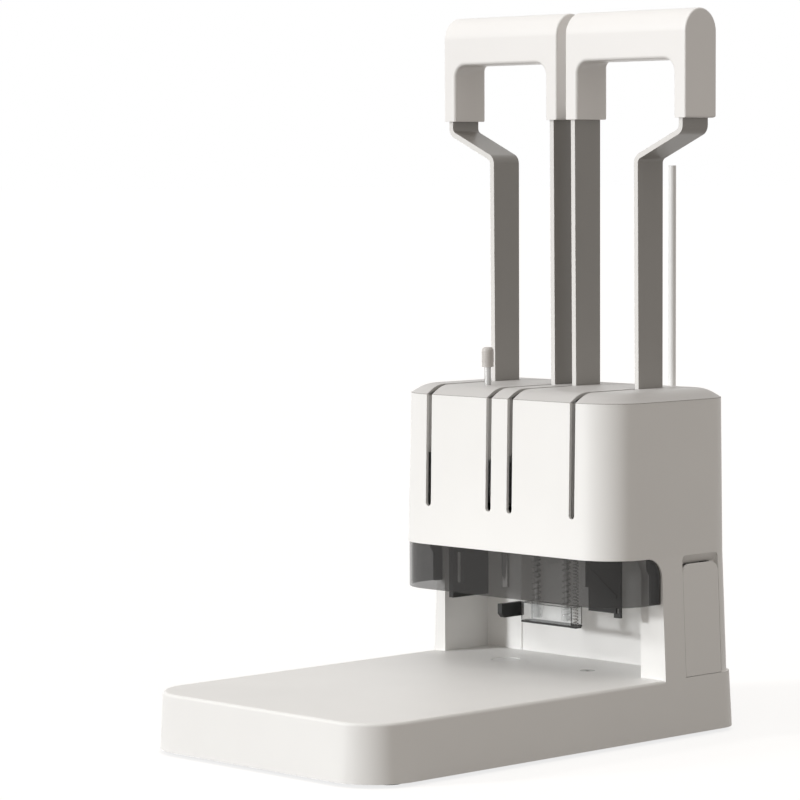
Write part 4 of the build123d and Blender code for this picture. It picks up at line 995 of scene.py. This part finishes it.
@dataclass
class Levers:
    """The two pull levers, alike left and right.

    Attributes:
        opening_rims: Y of each rim of the hand opening to its radius.
        rim_angle: Rims turn by more than this, in radians.
        heel_turns: Where the heel's rounding gets an edge, in degrees.
        cut_slack: How close to a cut a vertex counts as on it, in millimetres.
        screw_size: Radius and height of the grip's screw heads.
    """

    shop: Shop
    arm_edge_mm: float = 0.4
    grip_edge_mm: float = 0.9
    opening_span: Pair = (16.5, 112.0)
    opening_top: float = 498.0
    opening_rims: tuple[Pair, ...] = ((122.5, 2.6), (157.0, 3.2))
    rim_slack: float = 0.05
    rim_angle: float = 1.0
    rim_segments: int = 6
    grip_rear: float = 157.0
    grip_bottom: float = 455.0
    heel_radius: float = 3.4
    heel_turns: tuple[float, ...] = (0.0, 11.25, 22.5, 33.75)
    cut_slack: float = 0.0001
    screw_size: Pair = (1.85, 1.2)
    screw_depth: float = 156.0
    screw_heights: Pair = (461.0, 472.0)
    screw_columns: Pair = (10.9, 118.0)

    def build(self) -> None:
        """Dress both levers."""
        finishes = self.shop.finishes
        for side in ("left", "right"):
            for arm in (f"{side}_inner", f"{side}_outer"):
                self.shop.soften(f"{arm}_arm", f"{arm}_bar", finishes.arm_paint_and_highlight, self.arm_edge_mm)
            self.shop.soften(
                f"{side}_grip",
                f"{side}_handle",
                finishes.grip_abs,
                self.grip_edge_mm,
                reshape=self.round_grip,
            )
            self.add_screws(side)
            self.shop.paint(f"{side}_hub", finishes.ground_steel)
            self.shop.paint(f"{side}_sector_gears", finishes.ground_steel)
            self.shop.paint(f"{side}_return_spring", finishes.spring_wire)

    def on_opening_rim(self, place: Vector, depth: float) -> bool:
        """Tell whether a point lies on the hand opening's rim.

        Args:
            place: The point in millimetres.
            depth: Y of the rim.

        Returns:
            True where it does.
        """
        inner, outer = self.opening_span
        across = inner - self.rim_slack < abs(place.x) < outer + self.rim_slack
        below = place.z < self.opening_top + self.rim_slack
        return across and below and abs(place.y - depth) < self.rim_slack

    def round_grip(self, work: BMesh) -> None:
        """Round both rims of the hand opening, wider than the other edges, and the heels.

        Args:
            work: Mesh of one grip, changed in place.
        """
        for depth, radius in self.opening_rims:
            rim = [
                edge
                for edge in work.edges
                if all(self.on_opening_rim(vertex.co / MM, depth) for vertex in edge.verts)
                and edge.calc_length() > self.rim_slack * MM
                and len(edge.link_faces) == 2
                and edge.calc_face_angle() > self.rim_angle
            ]
            LOG.info("rounding %d edges at Y %.1f mm", len(rim), depth)
            width, segments = radius * MM, self.rim_segments
            bmesh.ops.bevel(
                work, geom=rim, offset=width, segments=segments, profile=0.5, affect="EDGES"
            )
        self.round_heels(work)
        # Blender's bevel leaves the faces in another order each run, so they get one of their own
        work.edges.index_update()
        count = len(work.edges)
        work.faces.sort(key=lambda face: face.edges[0].index * count + face.edges[1].index)

    def round_heels(self, work: BMesh) -> None:
        """Round the rear lower edge of both legs, seen from the side as a quarter circle.

        Args:
            work: Mesh of one grip, changed in place.
        """
        radius = self.heel_radius
        centre_y = self.grip_rear - radius
        centre_z = self.grip_bottom + radius
        steps = [math.tan(math.radians(turn)) * radius for turn in self.heel_turns]
        cuts = [((0, 0, centre_z - step), (0, 0, 1)) for step in steps]
        cuts += [((0, centre_y + step, 0), (0, 1, 0)) for step in steps]
        for place, facing in cuts:
            # The cuts facing the rear run through the legs alone
            legs = [
                face
                for face in work.faces
                if facing[2] or face.calc_center_median().z < centre_z * MM
            ]
            parts = dict.fromkeys(part for face in legs for part in (*face.verts, *face.edges))
            bmesh.ops.bisect_plane(
                work,
                geom=[*parts, *legs],
                dist=self.cut_slack * MM,
                plane_co=Vector(place) * MM,
                plane_no=facing,
            )
        for vertex in work.verts:
            rearward = vertex.co.y / MM - centre_y
            downward = centre_z - vertex.co.z / MM
            reach = math.hypot(rearward, downward)
            if min(rearward, downward) > 0 and reach > radius:
                vertex.co.y = (centre_y + rearward * radius / reach) * MM
                vertex.co.z = (centre_z - downward * radius / reach) * MM

    def add_screws(self, side: str) -> None:
        """Set the four grip screws into the rear of one grip.

        Args:
            side: Either left or right.
        """
        sign = -1 if side == "left" else 1
        depth, heights = self.screw_depth, self.screw_heights
        spots = [(sign * x, depth, height) for x in self.screw_columns for height in heights]
        radius, height = self.screw_size
        screws = ScrewHeads(self.shop, head_radius=radius, head_height=height)
        piece = screws.make(f"{side}_handle_screws", spots)
        self.shop.seat(piece, f"{side}_grip_screws", stands_for=True)


@dataclass
class Tools:
    """Everything that works on the paper under the head."""

    shop: Shop
    sheet_edge_mm: float = 0.3
    foot_span: Pair = (-25.7, 25.7)
    foot_reach: Pair = (106.3, 117.7)
    foot_height: Pair = (76.6, 89.7)
    foot_bead: float = 0.35
    knob_centre: Pair = (-42.4, 87.0)
    knob_radius: float = 4.4
    knob_bottom: float = 270.5
    ring_count: int = 5
    ring_low: float = 273.2
    ring_pitch: float = 1.7
    ring_bead: float = 0.32
    ring_steps: int = 48
    bead_sides: int = 8

    def build(self) -> None:
        """Dress the drill, the rivet press, the foot and their brackets."""
        finishes = self.shop.finishes
        steel = (
            "frame_left frame_right frame_bolts base_beam top_bridge tool_plate guide_rods "
            "foot_rods pivot_shaft shaft_clips drill_racks drill_motor spindle_bearings spindle "
            "press_racks lower_die"
        )
        black_steel = "drill_bracket press_bracket drill_chuck rivet_punch foot_plate"
        groups = (
            (finishes.ground_steel, steel),
            (finishes.black_oxide, black_steel),
            (finishes.spring_wire, "drill_bit foot_springs foot_return_spring"),
            (finishes.milled_aluminium, "drill_carriage press_carriage heater_block"),
            (finishes.black_nylon, "foot_tab shield_frame tube_guide power_inlet power_switch"),
            (finishes.white_nylon, "cutting_disc rivet_tube"),
            (finishes.glass_fibre_board, "control_board"),
        )
        for finish, nodes in groups:
            for node in nodes.split():
                self.shop.paint(node, finish)
        edge_mm = self.sheet_edge_mm
        self.shop.soften("smoke_shield", "smoked_shield", finishes.smoked_acrylic, edge_mm)
        self.shop.soften("press_foot", "clear_foot", finishes.clear_polycarbonate, edge_mm)
        self.add_lock_knob()
        self.add_foot_edges()

    def add_foot_edges(self) -> None:
        """Draw the clear foot's edges as dark beads: painted shade for the dark look they get
        because light runs out through them.
        """
        left, right = self.foot_span
        front, rear = self.foot_reach
        low, high = self.foot_height
        paths = [[(x, y, low), (x, y, high)] for x in (left, right) for y in (front, rear)]
        rim = [(left, front), (right, front), (right, rear), (left, rear), (left, front)]
        paths.append([(x, y, high) for x, y in rim])
        edges = Beads(self.shop, bead_radius=self.foot_bead, sides=self.bead_sides)
        piece = edges.make("clear_foot_edge_shade", paths, self.shop.finishes.plastic_edge_shade)
        self.shop.seat(piece, "press_foot")

    def add_lock_knob(self) -> None:
        """Dress the lock: a bright rod under a grey knob with grip rings."""
        finishes = self.shop.finishes
        knob = self.shop.soften("lock_knob", "lock_button_knob", finishes.grey_acetal, 0.0)
        knob.data.materials.append(self.shop.material(finishes.ground_steel))
        for face in knob.data.polygons:
            face.material_index = int(face.center.z < self.knob_bottom * MM)
        ring = ring_points(self.knob_centre, self.knob_radius, 0, 360, self.ring_steps)[:-1]
        heights = [self.ring_low + row * self.ring_pitch for row in range(self.ring_count)]
        rings = [[(x, y, height) for x, y in (*ring, ring[0])] for height in heights]
        beads = Beads(self.shop, bead_radius=self.ring_bead, sides=self.bead_sides)
        piece = beads.make("lock_button_rings", rings, finishes.grey_acetal)
        self.shop.seat(piece, "lock_knob")


@dataclass(frozen=True)
class SoftLamp:
    """One distant lamp of the studio.

    Attributes:
        name: Its name.
        direction: Direction from the object to the lamp.
        strength: Its strength.
        softness_degrees: Width of the lamp as seen from the object.
    """

    name: str
    direction: Point
    strength: float
    softness_degrees: float


@dataclass
class Studio:
    """Plain pale floor, soft light and the camera at the photograph's viewing angle.

    Attributes:
        camera_place: Where the camera stands, in metres.
        azimuth: Its angle around the object from the front, in degrees.
        elevation: Its angle above the floor.
        roll: Its turn about its own axis.
        floor_half: Half the floor's width, in metres.
        ambient: Strength of the light from all around.
        floor_lift: How much the floor is brightened where it is seen.
    """

    camera_place: Point = (1.793937, -1.787193, 0.417213)
    azimuth: float = 45.867
    elevation: float = 3.776
    roll: float = -0.214
    lens_mm: float = 156.334
    sensor_mm: float = 36.0
    clip_end: float = 200.0
    floor_half: float = 60.0
    lamps: tuple[SoftLamp, ...] = (
        SoftLamp("key_light", (-0.42, -0.78, 0.46), 0.75, 9.0),
        SoftLamp("low_fill", (-0.42, -0.9, 0.19), 1.45, 6.0),
        SoftLamp("overhead", (0.1, -0.15, 1.0), 0.5, 60.0),
    )
    lamp_colour: Point = (0.965, 0.985, 1.0)
    ambient: float = 0.45
    ambient_colour: str = "#fff7ee"
    floor_colour: str = "#94918e"
    floor_lift: float = 0.8

    def add_camera(self) -> None:
        """Make the camera with its small roll."""
        around, above, turn = map(math.radians, (self.azimuth, self.elevation, self.roll))
        ahead = math.cos(above)
        back = Vector((math.sin(around) * ahead, -math.cos(around) * ahead, math.sin(above)))
        level = Vector((math.cos(around), math.sin(around), 0.0))
        upward = back.cross(level)
        right = level * math.cos(turn) + upward * math.sin(turn)
        top = upward * math.cos(turn) - level * math.sin(turn)
        data = bpy.data.cameras.new("studio_camera")
        data.lens = self.lens_mm
        data.sensor_width = self.sensor_mm
        data.clip_end = self.clip_end
        camera = put_in_scene("studio_camera", data)
        turned = Matrix((right, top, back)).transposed().to_4x4()
        camera.matrix_world = Matrix.Translation(Vector(self.camera_place)) @ turned
        bpy.context.scene.camera = camera

    def add_lamps(self) -> None:
        """Make the soft lamps: key and low fill from the front left, and a weak one overhead."""
        for lamp in self.lamps:
            data = bpy.data.lights.new(lamp.name, "SUN")
            data.energy = lamp.strength
            data.angle = math.radians(lamp.softness_degrees)
            data.color = self.lamp_colour
            holder = put_in_scene(lamp.name, data)
            holder.rotation_mode = "QUATERNION"
            holder.rotation_quaternion = Vector(lamp.direction).to_track_quat("Z", "Y")

    def seen_directly(self, tree: NodeTree) -> NodeSocket:
        """Add what tells whether the viewer, a mirror or a clear sheet sees the surface.

        Args:
            tree: The tree of the floor or the world.

        Returns:
            A socket that is one where it is seen and zero for the light that it sheds.
        """
        path = add_node(tree, "ShaderNodeLightPath")
        seen = path.outputs["Is Camera Ray"]
        for kind in ("Is Glossy Ray", "Is Transmission Ray"):
            links = {0: seen, 1: path.outputs[kind]}
            seen = add_node(tree, "ShaderNodeMath", links, operation="MAXIMUM").outputs["Value"]
        return seen

    def add_world(self) -> None:
        """White where it is seen, a soft even fill everywhere else."""
        world = bpy.data.worlds.new("studio_world")
        tree = emptied_tree(world)
        seen = self.seen_directly(tree)
        limits = {"To Min": self.ambient, "To Max": 1.0}
        strength = add_node(tree, "ShaderNodeMapRange", {"Value": seen}, limits)
        tint = mix_colours(tree, seen, linear_from_hex(self.ambient_colour), WHITE)
        links = {"Strength": strength.outputs["Result"], "Color": tint}
        background = add_node(tree, "ShaderNodeBackground", links)
        add_node(tree, "ShaderNodeOutputWorld", {"Surface": background.outputs[0]})
        bpy.context.scene.world = world

    def add_floor(self) -> None:
        """Make the floor, lifted to white where it is seen, which keeps its shadow."""
        reach = self.floor_half
        mesh = bpy.data.meshes.new("studio_floor")
        corners = [(-reach, -reach, 0), (reach, -reach, 0), (reach, reach, 0), (-reach, reach, 0)]
        mesh.from_pydata(corners, [], [range(len(corners))])
        floor = put_in_scene("studio_floor", mesh)
        material = bpy.data.materials.new("pale_floor")
        tree = emptied_tree(material)
        colour = linear_from_hex(self.floor_colour)
        matte = add_node(tree, "ShaderNodeBsdfDiffuse", values={"Color": colour})
        links, values = {0: self.seen_directly(tree)}, {1: self.floor_lift}
        lift = add_node(tree, "ShaderNodeMath", links, values, operation="MULTIPLY")
        bright = {"Strength": lift.outputs["Value"]}
        glow = add_node(tree, "ShaderNodeEmission", bright, {"Color": WHITE})
        both = add_node(tree, "ShaderNodeAddShader", {0: matte.outputs[0], 1: glow.outputs[0]})
        add_node(tree, "ShaderNodeOutputMaterial", {"Surface": both.outputs[0]})
        mesh.materials.append(material)

    def build(self) -> None:
        """Set up the whole studio."""
        self.add_camera()
        self.add_lamps()
        self.add_world()
        self.add_floor()
        bpy.context.scene.view_settings.view_transform = "Standard"


def main() -> None:
    """Load the frame, dress every sub-assembly and set up the studio."""
    logging.basicConfig(level=logging.INFO, format="%(name)s: %(message)s")
    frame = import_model()
    Studio().build()
    shop = Shop(frame)
    for assembly in (Casings(shop), Levers(shop), Tools(shop)):
        assembly.build()


if __name__ == "__main__":
    main()
